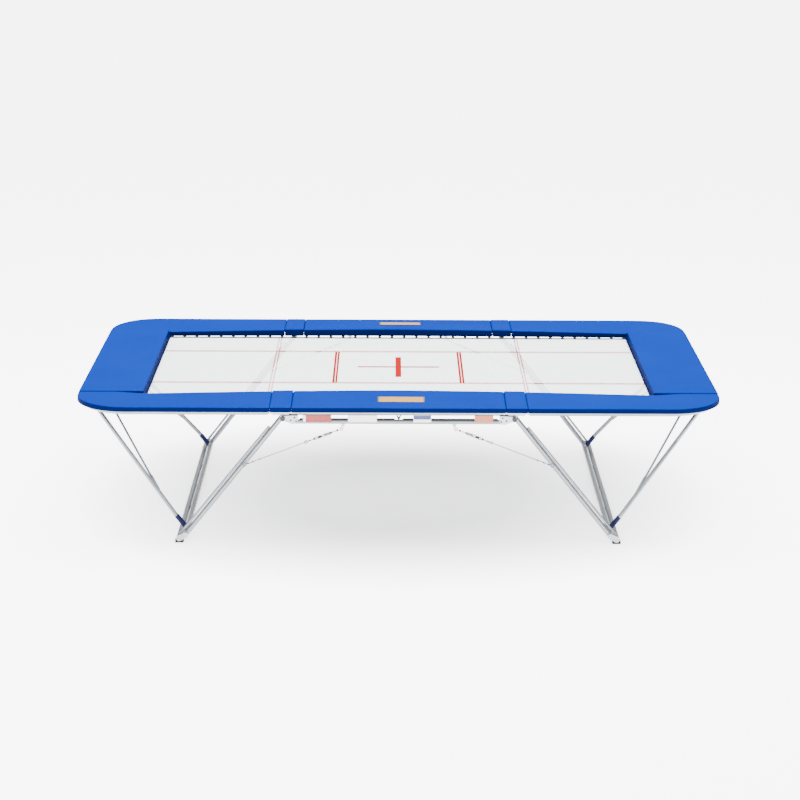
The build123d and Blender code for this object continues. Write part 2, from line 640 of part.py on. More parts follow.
def floor_bar(side, extra=0.0):
    """The floor tube's outside, over the whole width, for coping what meets it."""
    return across(side * FLOOR_TUBE_X, (-RAIL_Y, RAIL_Y), FLOOR_TUBE_Z, FLOOR_TUBE_DIAMETER + extra)


def leg_tube(side, row):
    """A leg tube with its pivot boss, coped to the cross tube."""
    top, foot = leg_line(side, row)
    half = LEG_BOSS_LENGTH / 2
    y_span = (row * LEG_PIVOT_Y - half, row * LEG_PIVOT_Y + half)
    hollow_start = top + (foot - top).normalized() * LEG_BOSS_DIAMETER
    leg = rod(top, foot, LEG_DIAMETER) + across(side * LEG_PIVOT_X, y_span, LEG_PIVOT_Z, LEG_BOSS_DIAMETER)
    leg -= rod(hollow_start, foot, LEG_DIAMETER - 2 * LEG_WALL)
    leg -= across(side * LEG_PIVOT_X, y_span, LEG_PIVOT_Z, PIVOT_BOLT_DIAMETER + 2 * RUNNING)
    return leg - cross_bar(side, COPE)


def leg_stay(side, row):
    """The thin tube on a leg's outer side, from below the pivot to the floor tube."""
    top, foot = leg_line(side, row)
    out = leg_outward(side)
    aside = out * (LEG_DIAMETER / 2 + STAY_DIAMETER / 2 + SEAT)
    start = top + (foot - top).normalized() * STAY_START + aside
    end = Vector(side * FLOOR_TUBE_X, row * LEG_FOOT_Y, FLOOR_TUBE_Z) + out * STAY_FOOT_OFFSET
    return tube(start, end, STAY_DIAMETER, STAY_WALL) - floor_bar(side, COPE)


def leg_end_plate(side, row):
    """The plate that closes the floor tube and cross tube at one side."""
    y_span = (row * FLOOR_TUBE_HALF, row * (FLOOR_TUBE_HALF + LEG_END_PLATE))
    floor_radius, cross_radius = FLOOR_TUBE_DIAMETER / 2, CROSS_TUBE_DIAMETER / 2
    run, rise = CROSS_TUBE_IN, CROSS_TUBE_UP
    length = hypot(run, rise)
    off_x, off_z = side * rise / length, run / length
    corners = [(side * FLOOR_TUBE_X + way * off_x * floor_radius, FLOOR_TUBE_Z + way * off_z * floor_radius)
               for way in (1, -1)]
    corners += [(side * CROSS_TUBE_X + way * off_x * cross_radius, CROSS_TUBE_Z + way * off_z * cross_radius)
                for way in (-1, 1)]
    discs = ((side * FLOOR_TUBE_X, FLOOR_TUBE_Z, floor_radius),
             (side * CROSS_TUBE_X, CROSS_TUBE_Z, cross_radius))
    return upright_plate(corners, discs, y_span)


def leg_web(side, y):
    """A short web that joins the floor tube and the cross tube."""
    middle_x = side * (FLOOR_TUBE_X - CROSS_TUBE_IN / 2)
    middle_z = FLOOR_TUBE_Z + CROSS_TUBE_UP / 2
    plane = Plane(origin=(middle_x, y, middle_z), x_dir=(0, 1, 0),
                  z_dir=(-side * CROSS_TUBE_IN, 0, CROSS_TUBE_UP))
    web = plane * Box(WEB_LENGTH, WEB_HEIGHT, hypot(CROSS_TUBE_IN, CROSS_TUBE_UP))
    return web - floor_bar(side, COPE) - cross_bar(side, COPE)


def brace_slope(side):
    """Unit vector in the XZ plane down a folded-out brace, from its hinge to its peg."""
    hinge = Vector(side * END_X, 0, BRACE_PIVOT_Z)
    peg = Vector(side * CROSS_TUBE_X, 0, CROSS_TUBE_Z)
    return (peg - hinge).normalized()


def peg_root(side, row):
    """The point on the cross tube's surface that a brace's peg rises from."""
    centre = Vector(side * CROSS_TUBE_X, row * PEG_Y, CROSS_TUBE_Z)
    return centre - brace_slope(side) * (CROSS_TUBE_DIAMETER / 2)


def brace_peg(side, row):
    """The seat and tapered peg on the cross tube that a brace's socket drops over."""
    up = brace_slope(side) * -1
    root = peg_root(side, row)
    seat_top = root + up * PEG_SEAT_RISE
    seat = rod(root - up * (CROSS_TUBE_DIAMETER / 3), seat_top, PEG_SEAT_DIAMETER) - cross_bar(side, COPE)
    return seat + cone(seat_top, seat_top + up * PEG_LENGTH, PEG_BASE_DIAMETER, PEG_TIP_DIAMETER)


def cable_lug(side, row):
    """The eye plate on a leg tube that a stay cable hooks to."""
    top, foot = leg_line(side, row)
    run = (foot - top).normalized()
    centre = top + run * CABLE_LUG_DISTANCE
    out = leg_outward(side)
    reach = LEG_DIAMETER / 2 + LUG_REACH
    plane = Plane(origin=centre + Vector(0, row * reach / 2, 0), x_dir=(0, row, 0), z_dir=out)
    return plane * Box(reach, LUG_WIDTH, LUG_THICKNESS) - rod(top, foot, LEG_DIAMETER + COPE)


def foot_block(side, row):
    """A rubber foot with a cradle for the floor tube."""
    outer = row * (FLOOR_TUBE_HALF - SEAT)
    x = side * FLOOR_TUBE_X
    x_span = (x - FOOT_LENGTH / 2, x + FOOT_LENGTH / 2)
    return block(x_span, (outer, outer - row * FOOT_WIDTH), (0, FOOT_HEIGHT)) - floor_bar(side, COPE)


def make_leg_frame(side_name, side):
    """One leg frame, which turns on its two pivot bolts."""
    save(f"{side_name}_leg_tubes", group(leg_tube(side, row) for _, row in ROWS))
    save(f"{side_name}_leg_stays", group(leg_stay(side, row) for _, row in ROWS))
    span = (-FLOOR_TUBE_HALF, FLOOR_TUBE_HALF)
    floor_tube = across(side * FLOOR_TUBE_X, span, FLOOR_TUBE_Z, FLOOR_TUBE_DIAMETER)
    floor_tube -= across(side * FLOOR_TUBE_X, span, FLOOR_TUBE_Z, FLOOR_TUBE_DIAMETER - 2 * FLOOR_TUBE_WALL)
    save(f"{side_name}_floor_tube", floor_tube)
    cross = across(side * CROSS_TUBE_X, span, CROSS_TUBE_Z, CROSS_TUBE_DIAMETER)
    cross -= across(side * CROSS_TUBE_X, span, CROSS_TUBE_Z, CROSS_TUBE_DIAMETER - 2 * CROSS_TUBE_WALL)
    save(f"{side_name}_cross_tube", cross)
    fittings = [leg_end_plate(side, row) for _, row in ROWS]
    fittings += [leg_web(side, y) for y in (-PEG_Y / 2, 0, PEG_Y / 2)]
    fittings += [brace_peg(side, row) for _, row in ROWS] + [cable_lug(side, row) for _, row in ROWS]
    save(f"{side_name}_leg_fittings", group(fittings))
    save(f"{side_name}_feet", group(foot_block(side, row) for _, row in ROWS))


def bent_bar(points, diameter):
    """A solid round bar through several points, bent at each corner to the braces' radius."""
    edges, start = [], points[0]
    for before, corner, after in zip(points, points[1:], points[2:]):
        along, onward = (corner - before).normalized(), (after - corner).normalized()
        half_turn = radians(along.get_angle(onward)) / 2
        reach = BRACE_BEND_RADIUS * tan(half_turn)
        towards_centre = (onward - along).normalized()
        middle = corner + towards_centre * (BRACE_BEND_RADIUS * (1 / cos(half_turn) - 1))
        edges.append(Line(start, corner - along * reach))
        edges.append(ThreePointArc(corner - along * reach, middle, corner + onward * reach))
        start = corner + onward * reach
    edges.append(Line(start, points[-1]))
    profile = Plane(origin=points[0], z_dir=points[1] - points[0]) * Circle(diameter / 2)
    return sweep(profile, path=Wire(edges))


def brace_route(side, row):
    """The main tube's corners: hinge eye, bend, top of the socket, and the tube's end inside it."""
    hinge = Vector(side * END_X, row * (RAIL_Y - BRACE_MAIN_INSET), BRACE_PIVOT_Z)
    along, over, down = BRACE_BEND
    bend = hinge + Vector(-side * along, row * over, -down)
    up = brace_slope(side) * -1
    socket_foot = peg_root(side, row) + up * (PEG_SEAT_RISE + SEAT)
    socket_top = socket_foot + up * SOCKET_LENGTH
    knee = socket_top + up * BRACE_KNEE_RISE
    return [hinge, bend, knee, socket_foot + up * (SOCKET_LENGTH - SOCKET_GRIP)]


def make_brace(side_name, side, row_name, row):
    """One V-shaped brace: main tube, rod and adjuster in one node, and the socket at its foot."""
    route = brace_route(side, row)
    hinge, bend, knee, end = route
    half = MAIN_EYE_LENGTH / 2
    eye = across(hinge.X, (hinge.Y - half, hinge.Y + half), BRACE_PIVOT_Z, 2 * BRACE_EYE_RADIUS)
    neck = knee + brace_slope(side) * BRACE_KNEE_RISE
    main = eye + bent_bar([hinge, bend, knee, neck], BRACE_DIAMETER)
    main += rod(neck, end, SOCKET_BORE - COPE)
    hollow_start = hinge + (bend - hinge).normalized() * (2 * BRACE_EYE_RADIUS)
    main -= bent_bar([hollow_start, bend, knee, end], SOCKET_BORE - 2 * BRACE_WALL)
    bore = BRACE_PIN_DIAMETER + 2 * RUNNING
    main -= across(hinge.X, (hinge.Y - half, hinge.Y + half), BRACE_PIVOT_Z, bore)

    top = Vector(side * END_X, row * (RAIL_Y - BRACE_ROD_INSET), BRACE_PIVOT_Z)
    joint = bend + (knee - bend) * BRACE_JOIN_SHARE
    run = (joint - top).normalized()
    half = ROD_EYE_LENGTH / 2
    strut = across(top.X, (top.Y - half, top.Y + half), BRACE_PIVOT_Z, ROD_EYE_DIAMETER)
    strut += rod(top, joint, BRACE_ROD_DIAMETER)
    adjuster_end = joint - run * ADJUSTER_GAP
    strut += rod(adjuster_end - run * ADJUSTER_LENGTH, adjuster_end, ADJUSTER_DIAMETER)
    strut -= across(top.X, (top.Y - half, top.Y + half), BRACE_PIVOT_Z, bore)
    strut -= bent_bar([hinge, bend, knee], BRACE_DIAMETER + COPE)
    save(f"{side_name}_{row_name}_brace", group([main, strut]))

    foot = end + brace_slope(side) * (SOCKET_LENGTH - SOCKET_GRIP)
    wall = (SOCKET_DIAMETER - SOCKET_BORE) / 2
    socket = tube(foot, foot - brace_slope(side) * SOCKET_LENGTH, SOCKET_DIAMETER, wall)
    save(f"{side_name}_{row_name}_brace_socket", socket - bent_bar([bend, knee, neck], BRACE_DIAMETER + COPE))


def stay_cable(side, row):
    """A taut stay cable with its end fittings, from a leg's lug to the anchor under the lower rail."""
    top, foot = leg_line(side, row)
    lug = top + (foot - top).normalized() * CABLE_LUG_DISTANCE
    lug += Vector(0, row * (LEG_DIAMETER / 2 + LUG_REACH + SEAT + CABLE_FITTING_DIAMETER / 2), 0)
    anchor = Vector(side * CABLE_ANCHOR_X, row * LOWER_RAIL_Y,
                    LOWER_RAIL_Z - LOWER_RAIL_DIAMETER / 2 - ANCHOR_DROP - SEAT - CABLE_FITTING_DIAMETER)
    run = (anchor - lug).normalized()
    cable = rod(lug, anchor, CABLE_DIAMETER)
    cable += rod(lug, lug + run * CABLE_FITTING_LENGTH, CABLE_FITTING_DIAMETER)
    return cable + rod(anchor - run * CABLE_FITTING_LENGTH, anchor, CABLE_FITTING_DIAMETER)


def main():
    """Build every node and write it to parts."""
    os.makedirs("parts", exist_ok=True)
    make_centre_frame()
    make_labels()
    make_leg_pivots()
    make_pads()
    make_bed_and_springs()
    for side_name, side in SIDES:
        make_end_frame(side_name, side)
        make_leg_frame(side_name, side)
        for row_name, row in ROWS:
            make_brace(side_name, side, row_name, row)
        save(f"{side_name}_stay_cables", group(stay_cable(side, row) for _, row in ROWS))
    print("brace hinge height", BRACE_PIVOT_Z, "springs to rail", round(INNER_Y + RAIL_REACH, 2))


main()
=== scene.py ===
"""Folding competition trampoline: bed, pads, cables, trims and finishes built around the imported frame.

Row frame, in metres: origin on the floor under the middle, +X along the length, +Y across, +Z up.
"left" is -X, "right" is +X, "near" is -Y and "far" is +Y.
"""
import logging
import math
from dataclasses import dataclass
from enum import Enum
from typing import Callable, Optional, Sequence, Union

import bmesh
import bpy
from mathutils import Matrix, Vector, noise


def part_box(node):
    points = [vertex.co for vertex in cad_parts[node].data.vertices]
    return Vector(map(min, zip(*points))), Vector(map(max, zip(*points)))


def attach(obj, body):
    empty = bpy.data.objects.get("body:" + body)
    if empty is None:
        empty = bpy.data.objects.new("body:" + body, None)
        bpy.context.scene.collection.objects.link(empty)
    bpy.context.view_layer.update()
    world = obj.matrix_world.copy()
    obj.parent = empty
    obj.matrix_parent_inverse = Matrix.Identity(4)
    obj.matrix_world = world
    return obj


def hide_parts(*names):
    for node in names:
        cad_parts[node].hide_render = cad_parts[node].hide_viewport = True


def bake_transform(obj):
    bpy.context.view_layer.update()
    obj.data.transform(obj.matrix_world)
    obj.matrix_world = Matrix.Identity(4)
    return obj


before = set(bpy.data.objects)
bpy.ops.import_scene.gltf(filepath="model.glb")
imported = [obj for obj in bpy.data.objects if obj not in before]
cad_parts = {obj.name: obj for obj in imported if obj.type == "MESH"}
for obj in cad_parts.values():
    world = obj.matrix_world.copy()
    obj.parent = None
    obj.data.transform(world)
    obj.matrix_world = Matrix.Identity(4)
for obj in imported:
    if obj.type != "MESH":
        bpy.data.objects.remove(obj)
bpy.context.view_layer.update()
LOG = logging.getLogger("trampoline")
REST = "rest_place"
HINGE_MIDDLE = 0.953
SAME_PLACE = 1e-5
SHARP = 0.9
RING_STEPS = 24
PAD_CORNER_RADIUS = 0.42
UNSPLIT = -9.0
Colour = tuple[float, float, float, float]


def srgb(red: int, green: int, blue: int) -> Colour:
    """Turn a display colour into the linear colour that shaders use.

    Args:
        red, green, blue: display values from 0 to 255.

    Returns:
        Linear red, green, blue and full opacity.
    """
    def linear(value: int) -> float:
        """One channel."""
        share = value / 255
        return share / 12.92 if share <= 0.04045 else ((share + 0.055) / 1.055) ** 2.4
    return linear(red), linear(green), linear(blue), 1.0


class Side(Enum):
    """The two ends of the trampoline."""

    LEFT = -1
    RIGHT = 1

    @property
    def word(self) -> str:
        """The side's name in CAD node and body names."""
        return self.name.lower()


class Row(Enum):
    """The two long sides of the trampoline."""

    NEAR = -1
    FAR = 1

    @property
    def word(self) -> str:
        """The row's name in CAD node names."""
        return self.name.lower()


# ---------------------------------------------------------------------------------------------
# Shader graphs
# ---------------------------------------------------------------------------------------------

Operand = Union["Signal", float]


def operator(operation: str, reflected: bool = False) -> Callable[..., "Signal"]:
    """A method that adds one Math node.

    Args:
        operation: the node's operation.
        reflected: whether the other value comes first.

    Returns:
        The method, for a signal and at most one more value.
    """
    def method(signal: "Signal", *others: Operand) -> "Signal":
        """The node's output, with the values in order."""
        values = (*others, signal) if reflected else (signal, *others)
        return signal.graph.node("ShaderNodeMath", {"operation": operation}, dict(enumerate(values)))
    return method


class Signal:
    """A shader socket that takes part in Python arithmetic.

    either and both give the larger and the smaller of two values, fraction and whole the parts after
    and before the point, and sine the sine of an angle in radians. A comparison gives one or zero.
    """

    def __init__(self, graph: "ShaderGraph", socket: bpy.types.NodeSocket) -> None:
        """Wrap one output socket of a graph."""
        self.graph = graph
        self.socket = socket

    __add__, __radd__ = operator("ADD"), operator("ADD", reflected=True)
    __sub__, __rsub__ = operator("SUBTRACT"), operator("SUBTRACT", reflected=True)
    __mul__, __rmul__ = operator("MULTIPLY"), operator("MULTIPLY", reflected=True)
    __truediv__, __lt__, __gt__ = operator("DIVIDE"), operator("LESS_THAN"), operator("GREATER_THAN")
    __abs__ = operator("ABSOLUTE")
    either, both = operator("MAXIMUM"), operator("MINIMUM")
    fraction, whole, sine = operator("FRACT"), operator("FLOOR"), operator("SINE")

    def sibling(self, name: str) -> "Signal":
        """Another output of the same node."""
        return Signal(self.graph, self.socket.node.outputs[name])


class ShaderGraph:
    """A material's node tree, built from expressions."""

    def __init__(self, material: bpy.types.Material) -> None:
        """Clear the tree and add its output."""
        self.tree = material.node_tree
        self.tree.nodes.clear()
        self.output = self.tree.nodes.new("ShaderNodeOutputMaterial")

    def node(self, kind: str, settings: Optional[dict] = None, sockets: Optional[dict] = None,
             output: Union[int, str] = 0) -> Signal:
        """Add a node, set it up and fill its sockets.

        Args:
            kind: the node's type.
            settings: properties of the node, and "stops" for a colour ramp's (position, colour) pairs.
            sockets: numbers, colours or signals for its inputs, by name or place.
            output: which output to return.

        Returns:
            The chosen output.
        """
        made = self.tree.nodes.new(kind)
        for name, value in (settings or {}).items():
            if name == "stops":
                ramp = made.color_ramp
                for element, (position, colour) in zip(ramp.elements, value):
                    element.position, element.color = position, colour
                for position, colour in value[2:]:
                    ramp.elements.new(position).color = colour
            else:
                setattr(made, name, value)
        for key, value in (sockets or {}).items():
            if isinstance(value, Signal):
                self.tree.links.new(value.socket, made.inputs[key])
            else:
                made.inputs[key].default_value = value
        return Signal(self, made.outputs[output])

    def place(self) -> Signal:
        """Object coordinates."""
        return self.node("ShaderNodeTexCoord", output="Object")

    def rest_place(self) -> Signal:
        """Where each point of a soft piece was before it bent."""
        return self.node("ShaderNodeAttribute", {"attribute_name": REST}, output="Vector")

    def axes(self, place: Signal) -> tuple[Signal, Signal, Signal]:
        """Split a place into its X, Y and Z."""
        first = self.node("ShaderNodeSeparateXYZ", sockets={0: place}, output="X")
        return first, first.sibling("Y"), first.sibling("Z")

    def noise(self, place: Signal, scale: float, detail: float = 3.0, roughness: float = 0.5) -> Signal:
        """Cloudy noise from 0 to 1."""
        return self.node("ShaderNodeTexNoise", sockets={
            "Vector": place, "Scale": scale, "Detail": detail, "Roughness": roughness})

    def cells(self, place: Signal, scale: float) -> Signal:
        """Distance to the nearest of many scattered points."""
        return self.node("ShaderNodeTexVoronoi", sockets={"Vector": place, "Scale": scale})

    def stretch(self, place: Signal, factors: tuple[float, float, float]) -> Signal:
        """Scale a place on each axis."""
        return self.node("ShaderNodeMapping", sockets={"Vector": place, "Scale": factors})

    def mix(self, factor: Operand, first: Union[Signal, Colour], second: Union[Signal, Colour]) -> Signal:
        """Blend two colours."""
        return self.node("ShaderNodeMix", {"data_type": "RGBA"}, {0: factor, 6: first, 7: second}, output=2)

    def bump(self, height: Signal, distance: float, strength: float = 1.0) -> Signal:
        """A normal from a height in units of the distance."""
        return self.node("ShaderNodeBump", sockets={
            "Height": height, "Distance": distance, "Strength": strength})

    def surface(self, **sockets: Union[Signal, Colour, float]) -> None:
        """Finish with a Principled shader; underscores in names stand for spaces."""
        named = {name.replace("_", " "): value for name, value in sockets.items()}
        shader = self.node("ShaderNodeBsdfPrincipled", sockets=named)
        self.tree.links.new(shader.socket, self.output.inputs["Surface"])


# ---------------------------------------------------------------------------------------------
# Finishes
# ---------------------------------------------------------------------------------------------

@dataclass(frozen=True)
class Finish:
    """A finish that can be put on pieces."""

    name: str

    def paint(self, graph: ShaderGraph) -> None:
        """Build the shader; each finish has its own."""
        raise NotImplementedError

    def material(self) -> bpy.types.Material:
        """The finish's material, made once."""
        name = f"finish_{self.name}"
        found = bpy.data.materials.get(name)
        if found is None:
            found = bpy.data.materials.new(name)
            found.use_nodes = True
            self.paint(ShaderGraph(found))
        return found

    def dress(self, piece: bpy.types.Object) -> None:
        """Put the finish on a whole piece."""
        if piece.data.materials:
            piece.data.materials.clear()
        piece.data.materials.append(self.material())


@dataclass(frozen=True)
class ZincSteel(Finish):
    """Bright zinc on drawn steel tube, with faint clouding, drawing lines and handling marks."""

    light: Colour = srgb(150, 154, 158)
    dark: Colour = srgb(100, 104, 110)
    smooth: float = 0.2
    rough: float = 0.42

    def paint(self, graph: ShaderGraph) -> None:
        """Clouds and speckle in colour and gloss, with fine marks in the normal."""
        place = graph.place()
        clouds = graph.noise(place, 5.0, 4.0)
        speckle = graph.cells(place, 140.0)
        marks = graph.noise(place, 260.0, 5.0, 0.7)
        streaks = graph.noise(graph.stretch(place, (40.0, 40.0, 6.0)), 3.0, 4.0)
        shade = (clouds * 0.75 + streaks * 0.35 + speckle * 0.25 - 0.2).either(0.0).both(1.0)
        colour = graph.mix(shade, self.dark, self.light)
        roughness = self.smooth + (self.rough - self.smooth) * (marks * 0.6 + clouds * 0.4)
        graph.surface(Base_Color=colour, Metallic=1.0, Roughness=roughness,
                      Normal=graph.bump(marks + speckle * 0.4, 0.00025, 0.5))


@dataclass(frozen=True)
class PivotHardware(Finish):
    """Bright bolts whose outer knobs are black moulded plastic."""

    knob_start: float

    def paint(self, graph: ShaderGraph) -> None:
        """Plastic outside a distance from the middle line, steel inside it."""
        place = graph.place()
        _, across, _ = graph.axes(place)
        knob = abs(across) > self.knob_start
        grain = graph.noise(place, 420.0, 4.0)
        clouds = graph.noise(place, 30.0, 3.0)
        steel = graph.mix(clouds, srgb(150, 154, 160), srgb(205, 208, 212))
        plastic = graph.mix(clouds, srgb(14, 14, 16), srgb(30, 30, 33))
        graph.surface(Base_Color=graph.mix(knob, steel, plastic), Metallic=1.0 - knob,
                      Roughness=0.28 + knob * 0.22 + grain * 0.12,
                      Normal=graph.bump(grain, 0.0002, 0.5))


@dataclass(frozen=True)
class CoilSteel(Finish):
    """Close-wound spring wire: bright turns with painted shade as dark lines between them."""

    pitch: float
    end_row_start: float

    def paint(self, graph: ShaderGraph) -> None:
        """Turns across each spring's own axis, which is X behind the bed's ends and Y elsewhere."""
        place = graph.place()
        along_x, along_y, _ = graph.axes(place)
        end_row = abs(along_x) > self.end_row_start
        along = along_y + end_row * (along_x - along_y)
        turn = ((along * (2 * math.pi / self.pitch)).sine() + 1.0) * 0.5
        tint = graph.noise(place, 14.0, 3.0)
        wire = graph.mix(tint, srgb(168, 172, 178), srgb(212, 215, 219))
        # The dark colour where the turn wave is low is painted shade between the turns.
        graph.surface(Base_Color=graph.mix(turn, srgb(40, 42, 46), wire), Metallic=0.9,
                      Roughness=0.3 + tint * 0.15, Normal=graph.bump(turn, 0.0012, 0.9))


@dataclass(frozen=True)
class PadCover(Finish):
    """Blue coated fabric over foam: fine leather grain, soft gloss and slight colour drift."""

    tint: Colour = srgb(1, 42, 132)
    deep: Colour = srgb(0, 36, 120)

    def paint(self, graph: ShaderGraph) -> None:
        """Grain from small cells, drift and scuffs from broad noise."""
        place = graph.rest_place()
        drift = graph.noise(place, 2.2, 4.0)
        scuff = graph.noise(place, 26.0, 6.0, 0.7)
        grain = graph.cells(place, 620.0)
        thread = graph.noise(place, 900.0, 2.0)
        colour = graph.mix(drift * 0.8 + scuff * 0.2, self.deep, self.tint)
        graph.surface(Base_Color=colour, Roughness=0.5 + scuff * 0.14 + grain * 0.05,
                      Specular_IOR_Level=0.01,
                      Normal=graph.bump(grain * 0.7 + thread * 0.3 + scuff * 0.5, 0.0005, 0.55))


@dataclass(frozen=True)
class StringWeave(Finish):
    """Bed woven from flat white strings with open squares between them, and red marking strings."""

    pitch: float
    string_share: float
    red: Colour = srgb(150, 0, 2)
    white: Colour = srgb(236, 241, 242)

    @staticmethod
    def band(value: Signal, centre: float, width: float) -> Signal:
        """One within half a width of a centre line."""
        return abs(value - centre) < width / 2

    def markings(self, along: Signal, across: Signal) -> tuple[Signal, Signal]:
        """The red areas.

        Args:
            along, across: distances from the bed's middle, in metres.

        Returns:
            Solid red areas, and red strings that show only where they pass over the white ones.
        """
        size_along, size_across = abs(along), abs(across)
        zone_half_width = 0.54
        inside = size_across < zone_half_width
        bar = self.band(along, 0.0, 0.05) * (size_across < 0.345)
        line = self.band(across, 0.0, 0.042) * (size_along < 0.355)
        box_ends = self.band(size_along, 0.529, 0.018).either(self.band(size_along, 0.553, 0.019))
        solid = bar.either(line).either(box_ends * inside)
        long_lines = self.band(size_across, zone_half_width, 0.052)
        outer = self.band(size_along, 1.063, 0.012).either(self.band(size_along, 1.087, 0.012))
        return solid, long_lines.either(outer)

    def paint(self, graph: ShaderGraph) -> None:
        """Two sets of strings that pass over and under each other."""
        along, across, _ = graph.axes(graph.rest_place())
        column, row = along / self.pitch, across / self.pitch
        column_share, row_share = column.fraction(), row.fraction()
        in_column = column_share < self.string_share
        in_row = row_share < self.string_share
        cloth = in_column.either(in_row)
        over = (((column.whole() + row.whole()) * 0.5).fraction() * 2.0) > 0.5
        ridge = (column_share * math.pi / self.string_share).sine() * over
        ridge = ridge + (row_share * math.pi / self.string_share).sine() * (1.0 - over)
        solid, strung = self.markings(along, across)
        shown = solid.either(strung * (0.75 + over * 0.25))
        soil = graph.noise(graph.rest_place(), 3.0, 5.0, 0.6)
        white = graph.mix(soil, srgb(222, 228, 230), self.white)
        colour = graph.mix(shown, white, self.red)
        graph.surface(Base_Color=colour, Roughness=0.6 + soil * 0.12, Alpha=cloth.either(solid),
                      Specular_IOR_Level=0.05,
                      Normal=graph.bump(ridge, 0.0012, 0.5))


@dataclass(frozen=True)
class Webbing(Finish):
    """Dark woven webbing with fine ribs."""

    def paint(self, graph: ShaderGraph) -> None:
        """Ribs along both directions of the weave."""
        place = graph.rest_place()
        along, across, _ = graph.axes(place)
        rib = (along * (2 * math.pi / 0.0032)).sine() * (across * (2 * math.pi / 0.0021)).sine()
        fluff = graph.noise(place, 240.0, 4.0)
        colour = graph.mix(fluff, srgb(18, 22, 34), srgb(38, 44, 60))
        graph.surface(Base_Color=colour, Roughness=0.72 + fluff * 0.15,
                      Normal=graph.bump(rib * 0.5 + fluff * 0.4, 0.0008, 0.8))


@dataclass(frozen=True)
class Moulded(Finish):
    """Moulded plastic or rubber with fine texture and scuffs."""

    light: Colour
    dark: Colour
    gloss: float = 0.4
    grain: float = 320.0

    def paint(self, graph: ShaderGraph) -> None:
        """Mottled colour, with scuffs that dull the surface."""
        place = graph.place()
        mottle = graph.noise(place, 18.0, 4.0)
        scuff = graph.noise(graph.stretch(place, (30.0, 30.0, 90.0)), 1.4, 5.0, 0.7)
        grain = graph.noise(place, self.grain, 3.0)
        graph.surface(Base_Color=graph.mix(mottle * 0.7 + scuff * 0.3, self.dark, self.light),
                      Roughness=self.gloss + scuff * 0.2 + grain * 0.08, Specular_IOR_Level=0.2,
                      Normal=graph.bump(grain + scuff * 0.4, 0.0003, 0.6))


@dataclass(frozen=True)
class PrintedPlate(Finish):
    """A printed plate: a field of one colour inside a border, with an optional second field."""

    field: Colour
    border: Colour
    second: Colour
    low: tuple[float, float]
    high: tuple[float, float]
    edge: float
    split_x: float = UNSPLIT
    split_z: float = UNSPLIT
    flat_plate: bool = False

    def paint(self, graph: ShaderGraph) -> None:
        """Field, second field and border from the plate's own extent."""
        place = graph.place()
        x, y, z = graph.axes(place)
        up = abs(y) if self.flat_plate else z
        inside = (x > self.low[0] + self.edge) * (x < self.high[0] - self.edge)
        inside = inside * (up > self.low[1] + self.edge) * (up < self.high[1] - self.edge)
        second = (x < self.split_x).either(up < self.split_z)
        wear = graph.noise(place, 45.0, 5.0, 0.65)
        colour = graph.mix(inside, self.border, graph.mix(second, self.field, self.second))
        colour = graph.mix(wear * 0.22, colour, srgb(206, 206, 202))
        graph.surface(Base_Color=colour, Roughness=0.4 + wear * 0.22, Specular_IOR_Level=0.08,
                      Normal=graph.bump(wear, 0.0002, 0.35))


@dataclass(frozen=True)
class StudioFloor(Finish):
    """Pale matt floor that glows like a light table, with a painted shadow: the glow is dimmed in an ellipse
    under the object.
    """

    glow: float = 4.6
    # The reach sets the size of the painted shadow's ellipse.
    reach: tuple[float, float, float] = (1 / 2.9, 1 / 2.5, 1.0)

    def paint(self, graph: ShaderGraph) -> None:
        """Nearly flat white with a trace of unevenness, and a painted shadow where the glow fades under the
        object.
        """
        cloud = graph.noise(graph.place(), 0.6, 3.0)
        # Distance from the middle, stretched by reach, sets the painted shadow: almost no glow under the
        # object, full glow outside.
        along, across, _ = graph.axes(graph.stretch(graph.place(), self.reach))
        outside_painted_shadow = ((along * along + across * across) * 1.15 - 0.16).either(0.0).both(1.0)
        graph.surface(Base_Color=graph.mix(cloud, srgb(250, 250, 250), srgb(252, 252, 253)),
                      Roughness=0.9 + cloud * 0.05, Emission_Strength=self.glow,
                      Emission_Color=graph.mix(outside_painted_shadow, (0.02, 0.02, 0.02, 1.0), (1.0, 1.0, 1.0, 1.0)))


# ---------------------------------------------------------------------------------------------
# Mesh helpers
# ---------------------------------------------------------------------------------------------

def connected(verts: Sequence[bmesh.types.BMVert]) -> list:
    """The points with every edge and face that they touch."""
    return list({item for vert in verts for item in (vert, *vert.link_edges, *vert.link_faces)})


def bisect(mesh: bmesh.types.BMesh, point: Sequence[float], normal: Sequence[float],
           clear_outer: bool = False) -> dict:
    """Cut the whole mesh with a plane, and perhaps drop what lies outside it."""
    everything = mesh.verts[:] + mesh.edges[:] + mesh.faces[:]
    return bmesh.ops.bisect_plane(mesh, geom=everything, plane_co=point, plane_no=normal,
                                  clear_outer=clear_outer, dist=SAME_PLACE)


def sharp_edges(mesh: bmesh.types.BMesh) -> list[bmesh.types.BMEdge]:
    """Edges whose two faces meet at a sharp angle."""
    return [edge for edge in mesh.edges if len(edge.link_faces) == 2 and edge.calc_face_angle() > SHARP]


def bevel(mesh: bmesh.types.BMesh, edges: list, offset: float, segments: int = 2) -> None:
    """Round edges."""
    bmesh.ops.bevel(mesh, geom=edges, offset=offset, segments=segments, profile=0.5,
                    affect="EDGES", material=-1)


